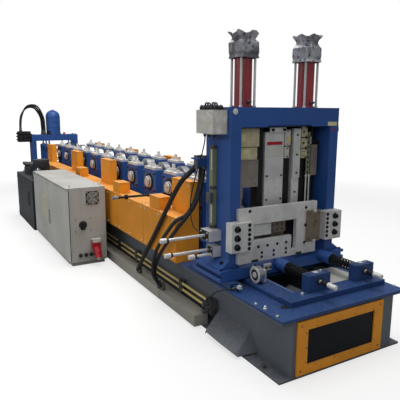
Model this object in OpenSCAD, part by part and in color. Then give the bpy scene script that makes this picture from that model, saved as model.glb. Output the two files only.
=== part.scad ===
// Roll forming line for steel purlins, seen from its exit end.
// +X is the direction in which the finished section leaves, +Y is away from the operator,
// +Z is up. The origin is on the floor, on the centreline, under the exit edge of the floor beams.

/* [Floor frame] */
// Length of the two floor beams
bed_length = 8700; // [8600:10:8800]
// Height of the floor beams
beam_height = 400; // [396:1:404]
// Width of a floor beam's flanges
flange_width = 200; // [196:1:204]
// Thickness of a floor beam's flanges
flange_thick = 13; // [12:1:15]
// Thickness of a floor beam's web
web_thick = 8; // [8:1:10]
// Overall width over the outer flange edges
frame_width = 1100; // [1090:2:1110]
// Thickness of the blue deck plate
deck_thick = 20; // [18:1:22]
// Overhang of the deck plate past the exit end
deck_overhang = 14; // [10:1:20]
// Length of the exit deck plate
deck_length = 1180; // [1170:1:1190]

/* [Exit end panel] */
// Width of the yellow panel frame
panel_width = 766; // [756:2:776]
// Height of the yellow panel frame
panel_height = 362; // [354:2:366]
// Width of the yellow border
panel_border = 84; // [78:1:90]
// Thickness of the yellow panel frame
panel_thick = 14; // [12:1:16]

/* [Flying cut-off] */
// Width over the two posts
portal_width = 1000; // [996:1:1004]
// Depth of the posts along the line
portal_depth = 330; // [320:2:340]
// Width of each post's front face
post_width = 85; // [80:1:90]
// Height of the beam's top face above the floor
portal_top = 1683; // [1673:1:1693]
// Height of the beam
portal_beam_height = 138; // [130:1:146]
// Distance from the exit edge to the posts' front face
portal_setback = 650; // [640:1:660]
// Travel of the cut-off along its rails
carriage_travel = 80; // [60:1:100]
// Working stroke of the upper blades
ram_stroke = 160; // [140:1:180]

/* [Cylinders] */
// Distance between the two cylinder axes
cylinder_spacing = 590; // [580:1:600]
// Outer diameter of the red barrels
barrel_outer = 126; // [122:1:130]
// Bore of the barrels
barrel_bore = 100; // [96:1:104]
// Length of the red barrels
barrel_length = 390; // [380:1:400]
// Side of the square cylinder heads
head_side = 150; // [146:1:156]
// Thickness of the square cylinder heads
head_thick = 50; // [45:1:55]
// Diameter of the tie rods
tie_rod_d = 18; // [16:1:20]
// Diameter of the piston rods
piston_rod_d = 56; // [50:1:60]

/* [Forming section] */
// Distance from one forming station to the next
station_pitch = 480; // [476:1:484]
// Room behind the last forming station for the straightener and the punch
entry_room = 2100; // [2060:10:2140]
// Distance from the exit edge to the first station
first_station = 1530; // [1525:1:1535]
// Length of a stand block along the line
block_length = 310; // [300:2:320]
// Thickness of a stand block across the line
block_thick = 90; // [84:1:96]
// Distance over the outer faces of the stand blocks
block_span = 600; // [590:2:610]
// Height of the stand blocks' top face
block_top = 1060; // [1050:1:1070]
// Height of the bed's top face under the stands
bed_top = 560; // [550:1:565]
// Height of the upper roll shafts
upper_shaft_z = 930; // [926:1:934]
// Height of the lower roll shafts
lower_shaft_z = 670; // [668:1:672]
// Diameter of the roll shafts
shaft_d = 70; // [66:1:74]
// Radius of the upper rolls
upper_roll_r = 140; // [138:1:141]
// Radius of the lower rolls
lower_roll_r = 114; // [112:1:115]

/* [Guards] */
// Distance from the exit edge to the front guard
guard_start = 1290; // [1285:1:1295]
// Distance from the last station to the guards' rear end
guard_overrun = 360; // [350:2:370]
// Gap between the stand blocks and the guards' inner face
guard_gap = 85; // [82:1:88]
// Height of the guard's top face
guard_top = 797; // [792:1:802]
// Thickness of the guard's sheet where it stands over the flange
guard_overhang = 50; // [46:1:54]
// Height of the tall hoods above the guard
tall_hood_height = 288; // [280:1:296]
// Height of the low hoods above the guard
low_hood_height = 114; // [108:1:120]

/* [Electric cabinet] */
// Length of the cabinet along the line
cabinet_length = 1728; // [1716:2:1740]
// Depth of the cabinet
cabinet_depth = 419; // [413:1:425]
// Height of the cabinet
cabinet_height = 854; // [846:1:862]
// Distance from the exit edge to the cabinet's end face
cabinet_start = 2867; // [2860:1:2874]
// Gap between the guard and the cabinet's back
cabinet_gap = 65; // [60:1:70]
// Thickness of the cabinet's walls
cabinet_wall = 15; // [12:1:18]
// Thickness of the cabinet's doors
door_thick = 20; // [18:1:22]

/* [Hidden] */
$fn = 48;
slip = 0.05;
seat = 0.3;

half_width = frame_width / 2;
web_y = half_width - flange_width / 2;
beam_inner_y = web_y - web_thick / 2;
deck_z = beam_height + deck_thick;

portal_x0 = -portal_setback - portal_depth;
portal_x1 = -portal_setback;
portal_mid_x = (portal_x0 + portal_x1) / 2;
post_y = portal_width / 2;
beam_z0 = portal_top - portal_beam_height;

rail_height = 46;
rail_z = deck_z + rail_height;
rail_y = [-half_width + 6, half_width - 86];
saddle_low_z = rail_z;
saddle_low_h = 30;
saddle_mid_h = 30;
saddle_top_h = 20;
saddle_z = saddle_low_z + saddle_low_h + saddle_mid_h + saddle_top_h;

deck_hole_x0 = -700;
deck_hole_x1 = -245;
frame_bar_x1 = -115;
deck_hole_y0 = 310 - half_width;
deck_hole_y1 = half_width - 100;
frame_bar_h = 40;
frame_bar_z = deck_z + frame_bar_h;
frame_bar_y = deck_hole_y0 - 140;
frame_bar_edge = 12;

spring_y = [-80, 355];
spring_z = 530;
spring_d = 80;
spring_wire_d = 11;
spring_turns = 9;
spring_x0 = -495;
block_x0 = -245;
block_x1 = -178;
spring_block_w = [195, 178];
spring_block_top = 580;
rod_d = 26;

wheel_d = 121;
wheel_x = -515;
wheel_y = -350;
wheel_w = 44;
axle_d = 24;
bracket_t = 30;
bracket_y = wheel_y + wheel_w / 2 + 6;
wheel_z = frame_bar_z + wheel_d / 2 + seat;

die_x0 = portal_x1;
die_thick = 35;
die_x1 = die_x0 + die_thick;
die_y0 = -445;
die_y1 = 283;
die_z0 = 576;
die_z1 = 978;

cylinder_y = [-cylinder_spacing / 2, cylinder_spacing / 2];
barrel_z0 = portal_top;
barrel_z1 = barrel_z0 + barrel_length;
cylinder_top = barrel_z1 + head_thick;
crosshead_z0 = 1376;
crosshead_z1 = 1436;
crosshead_x0 = portal_mid_x - 40;
crosshead_x1 = portal_mid_x + 40;
ram_bottom_z = 900;
blade_thick = 35;
blade_bottom_z = 880;

station_count = 1 + floor((bed_length - first_station - entry_room) / station_pitch);
function station_x(i) = -first_station - i * station_pitch;
joint_stations = [0, 1, 2];
fixed_stations = [for (i = [3 : station_count - 1]) i];

cabinet_x1 = -cabinet_start;
cabinet_x0 = cabinet_x1 - cabinet_length;
cabinet_y1 = -half_width - guard_overhang - cabinet_gap;
cabinet_y0 = cabinet_y1 - cabinet_depth;
plinth_h = 40;
door_gap = 3;
door_x_mid = (cabinet_x0 + cabinet_x1) / 2;
carcass_y0 = cabinet_y0 + door_thick + 8;

blue = "#1f3f86";
yellow = "#d98a17";
grey = "#6d7178";
steel = "#b9bcc0";
black = "#1c1c1f";
cabinet_grey = "#b4b3ae";
red = "#8c1f28";

// Box from its two opposite corners
module block(a, b) {
    translate([min(a[0], b[0]), min(a[1], b[1]), min(a[2], b[2])])
        cube([abs(b[0] - a[0]), abs(b[1] - a[1]), abs(b[2] - a[2])]);
}

// Cylinder whose axis runs along +X from x
module rod_x(x, y, z, d, length) {
    translate([x, y, z]) rotate([0, 90, 0]) cylinder(d = d, h = length);
}

// Cylinder whose axis runs along +Y from y
module rod_y(x, y, z, d, length) {
    translate([x, y, z]) rotate([-90, 0, 0]) cylinder(d = d, h = length);
}

module h_beam(y) {
    hw = flange_width / 2;
    wt = web_thick / 2;
    translate([-bed_length, y, 0]) rotate([90, 0, 90]) linear_extrude(bed_length)
        polygon([
            [-hw, 0], [hw, 0], [hw, flange_thick], [wt, flange_thick],
            [wt, beam_height - flange_thick], [hw, beam_height - flange_thick],
            [hw, beam_height], [-hw, beam_height], [-hw, beam_height - flange_thick],
            [-wt, beam_height - flange_thick], [-wt, flange_thick], [-hw, flange_thick]
        ]);
}

cross_plate_t = 12;
first_plate = 1150;
last_plate = 550;
bay = (bed_length - first_plate - last_plate) / 4;
cross_plate_x = concat([-cross_plate_t], [for (i = [0 : 4]) -first_plate - i * bay]);

// Plate from web to web, notched round the flanges
module cross_plate(x) {
    flange_y = half_width - flange_width;
    low = flange_thick;
    high = beam_height - flange_thick;
    translate([x, 0, 0]) rotate([90, 0, 90]) linear_extrude(cross_plate_t)
        polygon([
            [-flange_y, 0], [flange_y, 0], [flange_y, low], [beam_inner_y, low],
            [beam_inner_y, high], [flange_y, high], [flange_y, beam_height], [-flange_y, beam_height],
            [-flange_y, high], [-beam_inner_y, high], [-beam_inner_y, low], [-flange_y, low]
        ]);
}

module floor_beams() {
    color(grey)
        for (s = [-1, 1])
            h_beam(s * web_y);
}

// Plates welded between the two beams
module cross_plates() {
    color(grey)
        for (x = cross_plate_x)
            cross_plate(x);
}

module exit_deck() {
    color(blue) {
        difference() {
            block([-deck_length, -half_width - 2, beam_height], [deck_overhang, half_width + 2, deck_z]);
            block([deck_hole_x0, deck_hole_y0, beam_height - 1], [deck_hole_x1, deck_hole_y1, deck_z + 1]);
        }
        // rails for the cut-off
        for (y = rail_y)
            block([-1150, y, deck_z], [-570, y + 80, rail_z - seat]);
        // sensor block beside the opening
        block([-560, 30 - half_width, deck_z], [-530, 60 - half_width, deck_z + 35]);
        // raised frame round the opening, with the two spring blocks on its front bar
        translate([deck_hole_x0, 0, 0]) rotate([90, 0, 90]) linear_extrude(deck_hole_x1 - deck_hole_x0)
            polygon([[frame_bar_y, deck_z], [deck_hole_y0, deck_z], [deck_hole_y0, frame_bar_z],
                     [frame_bar_y + frame_bar_edge, frame_bar_z], [frame_bar_y, frame_bar_z - frame_bar_edge]]);
        block([deck_hole_x1, frame_bar_y, deck_z], [frame_bar_x1, half_width - 50, frame_bar_z]);
        for (i = [0, 1])
            difference() {
                block([block_x0, spring_y[i] - spring_block_w[i] / 2, deck_z],
                      [block_x1, spring_y[i] + spring_block_w[i] / 2, spring_block_top]);
                rod_x(block_x0 - 1, spring_y[i], spring_z, rod_d + 4, block_x1 - block_x0 + 2);
            }
    }
}

module cover_sheet() {
    color(steel) block([-590, 130, deck_z], [deck_hole_x1 - seat, deck_hole_y1 + 12, deck_z + 3]);
}

panel_y0 = 20 - beam_inner_y;
panel_z0 = 24;

module panel_frame() {
    color(yellow)
        difference() {
            block([0, panel_y0, panel_z0], [panel_thick, panel_y0 + panel_width, panel_z0 + panel_height]);
            block([-1, panel_y0 + panel_border, panel_z0 + panel_border * 0.75],
                  [panel_thick + 1, panel_y0 + panel_width - panel_border,
                   panel_z0 + panel_height - panel_border * 0.75]);
        }
}

module end_panel() {
    color(black)
        block([0, panel_y0 + panel_border, panel_z0 + panel_border * 0.75],
              [4, panel_y0 + panel_width - panel_border, panel_z0 + panel_height - panel_border * 0.75]);
}

// Sheet of four corners with a vertical thickness
module folded_sheet(p, t) {
    low = [for (q = p) [q[0], q[1], q[2] - t]];
    polyhedron(points = concat(p, low),
        faces = [[0, 1, 2], [0, 2, 3], [6, 5, 4], [7, 6, 4],
                 [4, 1, 0], [4, 5, 1], [5, 2, 1], [5, 6, 2], [6, 3, 2], [6, 7, 3], [7, 0, 3], [7, 4, 0]]);
}

chute_y = -web_y - web_thick / 2;
lip_y = -half_width - 72;

module scrap_chute() {
    color(grey) {
        folded_sheet([[-850, chute_y, 150], [-640, chute_y, 150], [-590, lip_y, 44], [-770, lip_y, 50]], 5);
        folded_sheet([[-640, chute_y, 150], [-446, chute_y, 150],
                      [-396, lip_y + 10, 36], [-590, lip_y, 44]], 5);
        folded_sheet([[-446, chute_y, 150], [-360, chute_y, 26],
                      [-380, lip_y + 22, 24], [-396, lip_y + 10, 36]], 5);
        // slide under the opening
        folded_sheet([[-640, 60, 330], [-360, 60, 330],
                      [-360, -beam_inner_y, 90], [-640, -beam_inner_y, 90]], 6);
        folded_sheet([[-862, chute_y, 84], [-850, chute_y, 150],
                      [-770, lip_y, 50], [-780, lip_y + 4, 24]], 5);
    }
}

pipe_y = -web_y - 42;
pipe_z = [197, 142];
pipe_d = 22;
pipe_end = -905;
pipe_length = 5200;
pipe_hold = [for (i = [0 : 4]) -1400 - 1000 * i];

module hydraulic_pipes() {
    color("#d7a23a")
        for (z = pipe_z)
            rod_x(pipe_end - pipe_length, pipe_y, z, pipe_d, pipe_length);
}

module pipe_couplings() {
    color(steel) {
        // saddle clamps that hold the pipes to the beam's web
        for (x = pipe_hold)
            difference() {
                block([x - 20, chute_y, pipe_z[1] - 24], [x + 20, pipe_y - 18, pipe_z[0] + 24]);
                for (z = pipe_z)
                    rod_x(x - 21, pipe_y, z, pipe_d + 2 * slip, 42);
            }
        // manifold from the tank to the pipes' entry end
        difference() {
            block([tank_x0 + 250, chute_y, pipe_z[1] - 24], [tank_x0 + 310, tank_y1, pipe_z[0] + 24]);
            for (z = pipe_z)
                rod_x(tank_x0 + 249, pipe_y, z, pipe_d + 2 * slip, 62);
        }
        // valve block at the pipes' exit end
        difference() {
            block([pipe_end - 30, chute_y, pipe_z[1] - 26], [pipe_end + 40, pipe_y - 30, pipe_z[0] + 26]);
            for (z = pipe_z)
                rod_x(pipe_end - 31, pipe_y, z, pipe_d + 2 * slip, 31);
        }
        for (z = pipe_z)
            rod_y(pipe_end + 5, pipe_y - 30 - 46, z, 30, 46);
    }
}

tray_top = 104;

module cable_tray() {
    color("#8b8f94") {
        block([station_x(station_count - 1) - 270, -half_width - 75, flange_thick],
              [-935, -half_width + 45, tray_top]);
        // branch to the cabinet's back
        block([cabinet_x1 - 630, cabinet_y1, flange_thick],
              [cabinet_x1 - 510, -half_width - 75, tray_top]);
    }
}

module machine_bed() {
    color(blue) {
        block([100 - bed_length, -half_width, beam_height], [-deck_length, half_width, deck_z]);
        for (s = [-1, 1])
            block([station_x(station_count - 1) - 570, s * 190, deck_z],
                  [200 - first_station, s * (block_span / 2 + 20), bed_top]);
    }
}

module stand_block(x, y0) {
    difference() {
        block([x - block_length / 2, y0, bed_top], [x + block_length / 2, y0 + block_thick, block_top]);
        for (z = [upper_shaft_z, lower_shaft_z])
            rod_y(x, y0 - 1, z, shaft_d + 2 * slip, block_thick + 2);
    }
}

module stand_blocks() {
    color(blue)
        for (i = [0 : station_count - 1])
            for (y = [-block_span / 2, block_span / 2 - block_thick])
                stand_block(station_x(i), y);
}

cap_thick = 25;
cap_length = 250;
screw_d = 34;
screw_height = 70;

module stand_caps() {
    color(steel)
        for (i = [0 : station_count - 1])
            for (y = [-block_span / 2, block_span / 2 - block_thick]) {
                block([station_x(i) - cap_length / 2, y, block_top],
                      [station_x(i) + cap_length / 2, y + block_thick, block_top + cap_thick]);
                translate([station_x(i), y + block_thick / 2, block_top + cap_thick])
                    cylinder(d = screw_d, h = screw_height);
            }
}

roll_y = 60;
roll_w = 70;
roll_gap = 8;
flange_roll_w = 36;
shaft_over = 40;

module shaft(x, z) {
    rod_y(x, -block_span / 2 - shaft_over, z, shaft_d, block_span + 2 * shaft_over);
}

module upper_roll(i) {
    x = station_x(i);
    color(steel) {
        shaft(x, upper_shaft_z);
        rod_y(x, -roll_y - roll_w, upper_shaft_z, 110, 2 * (roll_y + roll_w));
        for (y = [-roll_y - roll_w, roll_y])
            rod_y(x, y, upper_shaft_z, 2 * upper_roll_r, roll_w);
    }
}

module lower_roll(i) {
    x = station_x(i);
    outer = roll_y + roll_w + roll_gap;
    color(steel) {
        shaft(x, lower_shaft_z);
        rod_y(x, -outer, lower_shaft_z, 2 * lower_roll_r, 2 * outer);
        for (y = [-outer - flange_roll_w, outer])
            rod_y(x, y, lower_shaft_z, 2 * lower_roll_r + 80, flange_roll_w);
    }
}

module fixed_rolls() {
    for (i = fixed_stations) {
        upper_roll(i);
        lower_roll(i);
    }
}

guard_y0 = -half_width - guard_overhang;
guard_y1 = -block_span / 2 - guard_gap;
guard_length = guard_overrun - guard_start - station_x(station_count - 1);

module side_guards() {
    color(yellow)
        for (s = [-1, 1])
            block([-guard_start - guard_length, s * guard_y0, deck_z],
                  [-guard_start, s * guard_y1, guard_top]);
}

tall_hood_x = [for (d = [0, 1960, 3340, guard_length - 490]) -guard_start - d];
tall_hood_l = 335;
low_hood_x = [for (d = [351, 1330, 2820]) -guard_start - d];
low_hood_l = 200;
hood_depth = 81;
hood_y = hood_depth - guard_y1;

module guard_hoods() {
    color(yellow)
        for (s = [-1, 1]) {
            for (x = tall_hood_x)
                block([x - tall_hood_l, s * hood_y, guard_top],
                      [x, -s * guard_y1, guard_top + tall_hood_height]);
            for (x = low_hood_x)
                block([x - low_hood_l, s * (-guard_y0 - 14), guard_top],
                      [x, s * (hood_y + 4), guard_top + low_hood_height]);
        }
}

lip = 12;
roof = 18;
hinge_pin_d = 10;
hinge_inset = 12;
door_z0 = plinth_h + lip + door_gap;
door_z1 = cabinet_height - roof - door_gap;

module cabinet_body() {
    w = cabinet_wall;
    color(cabinet_grey) {
        difference() {
            union() {
                difference() {
                    block([cabinet_x0, carcass_y0, plinth_h], [cabinet_x1, cabinet_y1, cabinet_height]);
                    block([cabinet_x0 + w, carcass_y0 - 1, plinth_h + lip],
                          [cabinet_x1 - w, cabinet_y1 - w, cabinet_height - roof]);
                }
                // floor plate and roof that reach over the doors
                block([cabinet_x0, cabinet_y0, plinth_h], [cabinet_x1, carcass_y0, plinth_h + lip]);
                block([cabinet_x0, cabinet_y0, cabinet_height - roof],
                      [cabinet_x1, carcass_y0, cabinet_height]);
            }
            for (x = [cabinet_x0 + hinge_inset, cabinet_x1 - hinge_inset])
                translate([x, cabinet_y0 + door_thick / 2, plinth_h - 1])
                    cylinder(d = hinge_pin_d + 2 * slip, h = cabinet_height - plinth_h - 5);
        }
        block([cabinet_x0 + 20, cabinet_y0 + 40, 0], [cabinet_x1 - 20, cabinet_y1 - 20, plinth_h]);
    }
}

// Door leaf from x0 to x1 with its hinge pins at x
module cabinet_door(x0, x1, x) {
    block([x0, cabinet_y0, door_z0], [x1, cabinet_y0 + door_thick, door_z1]);
    for (z = [[plinth_h + 2, door_z0], [door_z1, cabinet_height - 8]])
        translate([x, cabinet_y0 + door_thick / 2, z[0]])
            cylinder(d = hinge_pin_d, h = z[1] - z[0]);
}

handle_z = 400;

module left_cabinet_door() {
    color(cabinet_grey)
        cabinet_door(cabinet_x0, door_x_mid - door_gap / 2, cabinet_x0 + hinge_inset);
}

module right_cabinet_door() {
    color(cabinet_grey) {
        cabinet_door(door_x_mid + door_gap / 2, cabinet_x1, cabinet_x1 - hinge_inset);
        block([door_x_mid + 14, cabinet_y0 - 22, handle_z - 70],
              [door_x_mid + 38, cabinet_y0, handle_z + 70]);
    }
}

switch_y = cabinet_y0 + 164;
switch_z = 450;

module main_switch() {
    color(black) {
        rod_x(cabinet_x1, switch_y, switch_z, 70, 22);
        block([cabinet_x1 + 22, switch_y - 12, switch_z - 34],
              [cabinet_x1 + 44, switch_y + 12, switch_z + 34]);
    }
}

fan_y = cabinet_y1 - 142;
fan_z = 740;
fan_side = 138;

module fan_grille() {
    color(black)
        block([cabinet_x1, fan_y - fan_side / 2, fan_z - fan_side / 2],
              [cabinet_x1 + 10, fan_y + fan_side / 2, fan_z + fan_side / 2]);
}

inlet_y = cabinet_y1 - 125;
inlet_z = 190;

module power_inlet() {
    color(red) {
        block([cabinet_x1, inlet_y - 45, inlet_z - 10], [cabinet_x1 + 50, inlet_y + 45, inlet_z + 95]);
        translate([cabinet_x1 + 44, inlet_y, inlet_z + 5]) rotate([0, 150, 0]) cylinder(d = 74, h = 120);
    }
}

saddle_x0 = portal_x0 - 20;
saddle_x1 = portal_x1 + 35;
saddle_y = half_width + 48;

module shear_saddle() {
    color(blue) {
        block([saddle_x0, -saddle_y, saddle_low_z], [saddle_x1, saddle_y, saddle_low_z + saddle_low_h]);
        block([saddle_x0, -saddle_y + 26, saddle_low_z + saddle_low_h],
              [saddle_x1, saddle_y - 26, saddle_low_z + saddle_low_h + saddle_mid_h]);
        block([saddle_x0, -saddle_y, saddle_z - saddle_top_h], [saddle_x1, saddle_y, saddle_z]);
        // bosses that the buffer springs push on
        for (y = spring_y)
            rod_x(saddle_x1 - 20, y, spring_z, 92, spring_x0 - saddle_x1 + 20);
    }
}

foot_z = saddle_z + 58;
arm_z = 1300;

module portal_posts() {
    color(blue)
        for (s = [-1, 1]) {
            block([portal_x0, s * post_y, saddle_z], [portal_x1, s * (post_y - post_width), beam_z0]);
            translate([portal_x0, 0, 0]) rotate([90, 0, 90]) linear_extrude(portal_depth)
                polygon([[s * post_y, saddle_z], [s * (post_y + 70), saddle_z],
                         [s * (post_y + 60), saddle_z + 14], [s * post_y, foot_z]]);
        }
    // arm behind the post that holds the hoses' upper ends
    color(blue) {
        block([portal_x0 - 100, -575, arm_z], [portal_x0, -450, arm_z + 12]);
        block([portal_x0 - 12, -575, arm_z - 50], [portal_x0, -440, arm_z]);
    }
}

// Plate between the posts behind the ram, open below where the section comes in
module rear_plate() {
    y = post_y - post_width;
    color("#2c2c30")
        translate([portal_x0 + 80, 0, 0]) rotate([90, 0, 90]) linear_extrude(10)
            polygon([[-y, 1080], [120, 1080], [120, saddle_z], [y, saddle_z], [y, beam_z0], [-y, beam_z0]]);
}

module portal_beam() {
    color(blue)
        difference() {
            block([portal_x0, -post_y, beam_z0], [portal_x1, post_y, portal_top]);
            block([portal_x1 - 40, -188, beam_z0 - 1], [portal_x1 + 1, 225, beam_z0 + 12]);
            for (y = cylinder_y)
                translate([portal_mid_x, y, beam_z0 - 1])
                    cylinder(d = piston_rod_d + 8, h = portal_beam_height + 2);
        }
}

module cylinder_barrels() {
    color(red)
        for (y = cylinder_y)
            translate([portal_mid_x, y, barrel_z0])
                difference() {
                    cylinder(d = barrel_outer, h = barrel_length);
                    translate([0, 0, -1]) cylinder(d = barrel_bore, h = barrel_length + 2);
                }
}

tie_offset = head_side / 2 - 16;

module cylinder_heads() {
    color(steel)
        for (y = cylinder_y)
            block([portal_mid_x - head_side / 2, y - head_side / 2, barrel_z1],
                  [portal_mid_x + head_side / 2, y + head_side / 2, cylinder_top]);
}

module tie_rods() {
    color("#d8d8d2")
        for (y = cylinder_y)
            for (dx = [-tie_offset, tie_offset])
                for (dy = [-tie_offset, tie_offset])
                    translate([portal_mid_x + dx, y + dy, barrel_z0])
                        cylinder(d = tie_rod_d, h = barrel_length);
}

wrap_side = 196;
wrap_drop = 100;
wrap_rise = 80;

module film_wraps() {
    outer = wrap_side / 2;
    inner = head_side / 2 + seat;
    color("#b8b8bc")
        for (y = cylinder_y)
            difference() {
                block([portal_mid_x - outer, y - outer, cylinder_top - wrap_drop],
                      [portal_mid_x + outer, y + outer, cylinder_top + wrap_rise]);
                block([portal_mid_x - inner, y - inner, cylinder_top - wrap_drop - 1],
                      [portal_mid_x + inner, y + inner, cylinder_top + seat]);
            }
}

box_x0 = portal_x0 + 54;
box_x1 = portal_x0 + 286;
box_y0 = -post_y - 116;
box_z0 = 1500;
box_z1 = 1664;

module junction_box() {
    color("#a6a49e") block([box_x0, box_y0, box_z0], [box_x1, -post_y, box_z1]);
}

module linear_scale() {
    color("#7c8466") block([portal_x0 + 104, -post_y - 34, 815], [portal_x0 + 150, -post_y, 1410]);
}

clamp_rod_d = 22;
clamp_tip_d = 34;

// Silver block on the post's outer side with a clamping screw that points outwards
module side_clamp(x, z, w, h, depth, rods) {
    block([x - w, -post_y - depth, z - h / 2], [x, -post_y, z + h / 2]);
    for (r = rods) {
        rod_y(x - w / 2 + r[0], -post_y - depth - r[2], z + r[1], clamp_rod_d, r[2]);
        rod_y(x - w / 2 + r[0], -post_y - depth - r[2] - 44, z + r[1], clamp_tip_d, 44);
    }
}

module side_clamps() {
    color(steel) {
        side_clamp(portal_x1 - 110, 770, 120, 78, 105, [[0, 0, 310]]);
        side_clamp(portal_x1 - 110, 650, 90, 76, 70, [[-20, 6, 310], [20, -18, 140]]);
    }
}

win_y0 = -315;
win_y1 = 84;
win_z0 = 737;
win_z1 = 857;
leg_y0 = 37;
leg_z0 = 623;
die_hole_d = 16;
core_x0 = -734;
die_holes = [
    [-271, 687], [-187, 687], [-97, 687], [-12, 687],
    [-238, 639], [-238, 607], [-128, 639], [-128, 607], [-12, 639], [-12, 607],
    [172, 937], [172, 798], [168, 662], [-353, 958]
];

module die_plate() {
    color(steel)
        difference() {
            block([die_x0, die_y0, die_z0], [die_x1, die_y1, die_z1]);
            block([die_x0 - 1, win_y0, win_z0], [die_x1 + 1, win_y1, win_z1]);
            block([die_x0 - 1, leg_y0, leg_z0], [die_x1 + 1, win_y1, win_z0 + 1]);
            for (h = die_holes)
                rod_x(die_x0 - 1, h[0], h[1], die_hole_d, die_thick + 2);
        }
    // core that the section slides round, on a block behind the plate
    color(steel) {
        block([core_x0, post_width - post_y, 700], [die_x0, -345, 900]);
        block([core_x0, -345, win_z0 + 20], [die_x0 - 4, -128, win_z1 - 15]);
    }
}

clamp_z0 = 680;
clamp_z1 = 890;

module die_clamps() {
    color(steel) {
        block([die_x0, -530, clamp_z0], [die_x1 + 40, die_y0 - seat, clamp_z1]);
        block([die_x1 + seat, die_y0 - seat, clamp_z0], [die_x1 + 40, -356, clamp_z1]);
        block([die_x0, 345, clamp_z0 - 14], [die_x1 + 40, 510, clamp_z1]);
        // arm on the saddle that carries the wheel's axle
        difference() {
            block([saddle_x1, bracket_y, saddle_low_z], [wheel_x + 30, bracket_y + bracket_t, saddle_z + 6]);
            rod_y(wheel_x, bracket_y - 1, wheel_z, axle_d + 2 * slip, bracket_t + 2);
        }
    }
}

module oiled_plates() {
    color("#9a8f80") {
        block([die_x1, 178, 665], [die_x1 + 16, 308, 910]);
        block([core_x0 + 8, -128, win_z0 + 22], [die_x0 - 20, 20, win_z1 - 18]);
    }
}

guide_post_d = 50;

module guide_posts() {
    color(steel)
        for (y = [-378, 378])
            translate([portal_mid_x, y, saddle_z]) cylinder(d = guide_post_d, h = beam_z0 - saddle_z);
}

collar_x = block_x1 + 22;

module spring_rods() {
    color(steel)
        for (y = spring_y) {
            rod_x(spring_x0, y, spring_z, rod_d, collar_x - spring_x0);
            rod_x(collar_x, y, spring_z, 32, 60);
            rod_x(collar_x + 60, y, spring_z, 35, 66);
        }
}

// Open coil made of rings, which stands in for the spring's helix
module buffer_springs() {
    length = block_x0 - spring_x0;
    pitch = (length - spring_wire_d) / (spring_turns - 1);
    color(black)
        for (y = spring_y) {
            translate([spring_x0, y, spring_z]) rotate([0, 90, 0])
                difference() {
                    cylinder(d = spring_d - spring_wire_d, h = length);
                    translate([0, 0, -1]) cylinder(d = spring_d - 2 * spring_wire_d, h = length + 2);
                }
            for (i = [0 : spring_turns - 1])
                translate([spring_x0 + i * pitch, y, spring_z]) rotate([0, 90, 0])
                    difference() {
                        cylinder(d = spring_d, h = spring_wire_d);
                        translate([0, 0, -1])
                            cylinder(d = spring_d - 2 * spring_wire_d, h = spring_wire_d + 2);
                    }
        }
}

module support_wheel() {
    color(steel) {
        rod_y(wheel_x, wheel_y - wheel_w / 2, wheel_z, wheel_d, wheel_w);
        rod_y(wheel_x, wheel_y + wheel_w / 2, wheel_z, axle_d, bracket_t + 6);
    }
}

module piston_rods() {
    piston_z = barrel_z1 - 60;
    color(steel)
        for (y = cylinder_y) {
            translate([portal_mid_x, y, crosshead_z1])
                cylinder(d = piston_rod_d, h = piston_z - crosshead_z1);
            translate([portal_mid_x, y, piston_z])
                cylinder(d = barrel_bore - 2 * slip, h = 50);
        }
}

module ram_back() {
    color("#2c2c30") {
        block([crosshead_x0, -180, ram_bottom_z], [crosshead_x1, 280, crosshead_z0]);
        block([crosshead_x0, -cylinder_spacing / 2 - 45, crosshead_z0],
              [crosshead_x1, cylinder_spacing / 2 + 45, crosshead_z1]);
    }
}

module blade_plates() {
    color(steel) {
        block([crosshead_x1, -139, blade_bottom_z], [crosshead_x1 + blade_thick, 36, 1505]);
        block([crosshead_x1, 122, blade_bottom_z], [crosshead_x1 + blade_thick, 194, 1530]);
    }
}

punch_x0 = 470 - bed_length;
punch_x1 = punch_x0 + 300;
leveller_x = [for (i = [0 : 2]) punch_x0 + 340 + 270 * i];

module leveller() {
    color(blue)
        for (x = leveller_x)
            for (y = [-block_span / 2, block_span / 2 - block_thick]) {
                block([x - 90, y, deck_z], [x + 90, y + block_thick, 1000]);
                translate([x, y + block_thick / 2, 1000]) cylinder(d = 30, h = 110);
            }
}

punch_y = half_width - 90;
punch_beam_z0 = 1060;
punch_beam_z1 = 1180;
punch_cylinder_r = 140;

module punch_frame() {
    color(blue) {
        for (s = [-1, 1])
            block([punch_x0, s * punch_y, deck_z], [punch_x1, s * (punch_y - 80), punch_beam_z0]);
        block([punch_x0, -punch_y, punch_beam_z0], [punch_x1, punch_y, punch_beam_z1]);
    }
}

// Upright cylinder with a domed cap
module punch_cylinder() {
    x = (punch_x0 + punch_x1) / 2;
    straight = 370;
    r = punch_cylinder_r;
    color(blue)
        translate([x, 0, punch_beam_z1]) rotate_extrude()
            polygon(concat(
                [[0, 0], [r, 0], [r, straight]],
                [for (a = [15 : 15 : 75]) [r * cos(a), straight + 0.9 * r * sin(a)]],
                [[0, straight + 0.9 * r]]));
}

tank_x1 = cabinet_x0 - 125;
tank_x0 = tank_x1 - 1230;
tank_y1 = cabinet_y1 + 5;
tank_y = tank_y1 - 215;
tank_z = 700;

// Oil tank with its upright motor, a valve block and the filler
module hydraulic_station() {
    color("#33363a") {
        block([tank_x0, tank_y - 215, 0], [tank_x1, tank_y1, tank_z]);
        translate([tank_x1 - 380, tank_y, tank_z]) cylinder(d = 220, h = 260);
        block([tank_x1 - 1030, tank_y - 125, tank_z], [tank_x1 - 630, tank_y + 125, tank_z + 140]);
        block([tank_x1 - 230, tank_y - 165, tank_z], [tank_x1 - 50, tank_y - 25, tank_z + 100]);
    }
}

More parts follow.
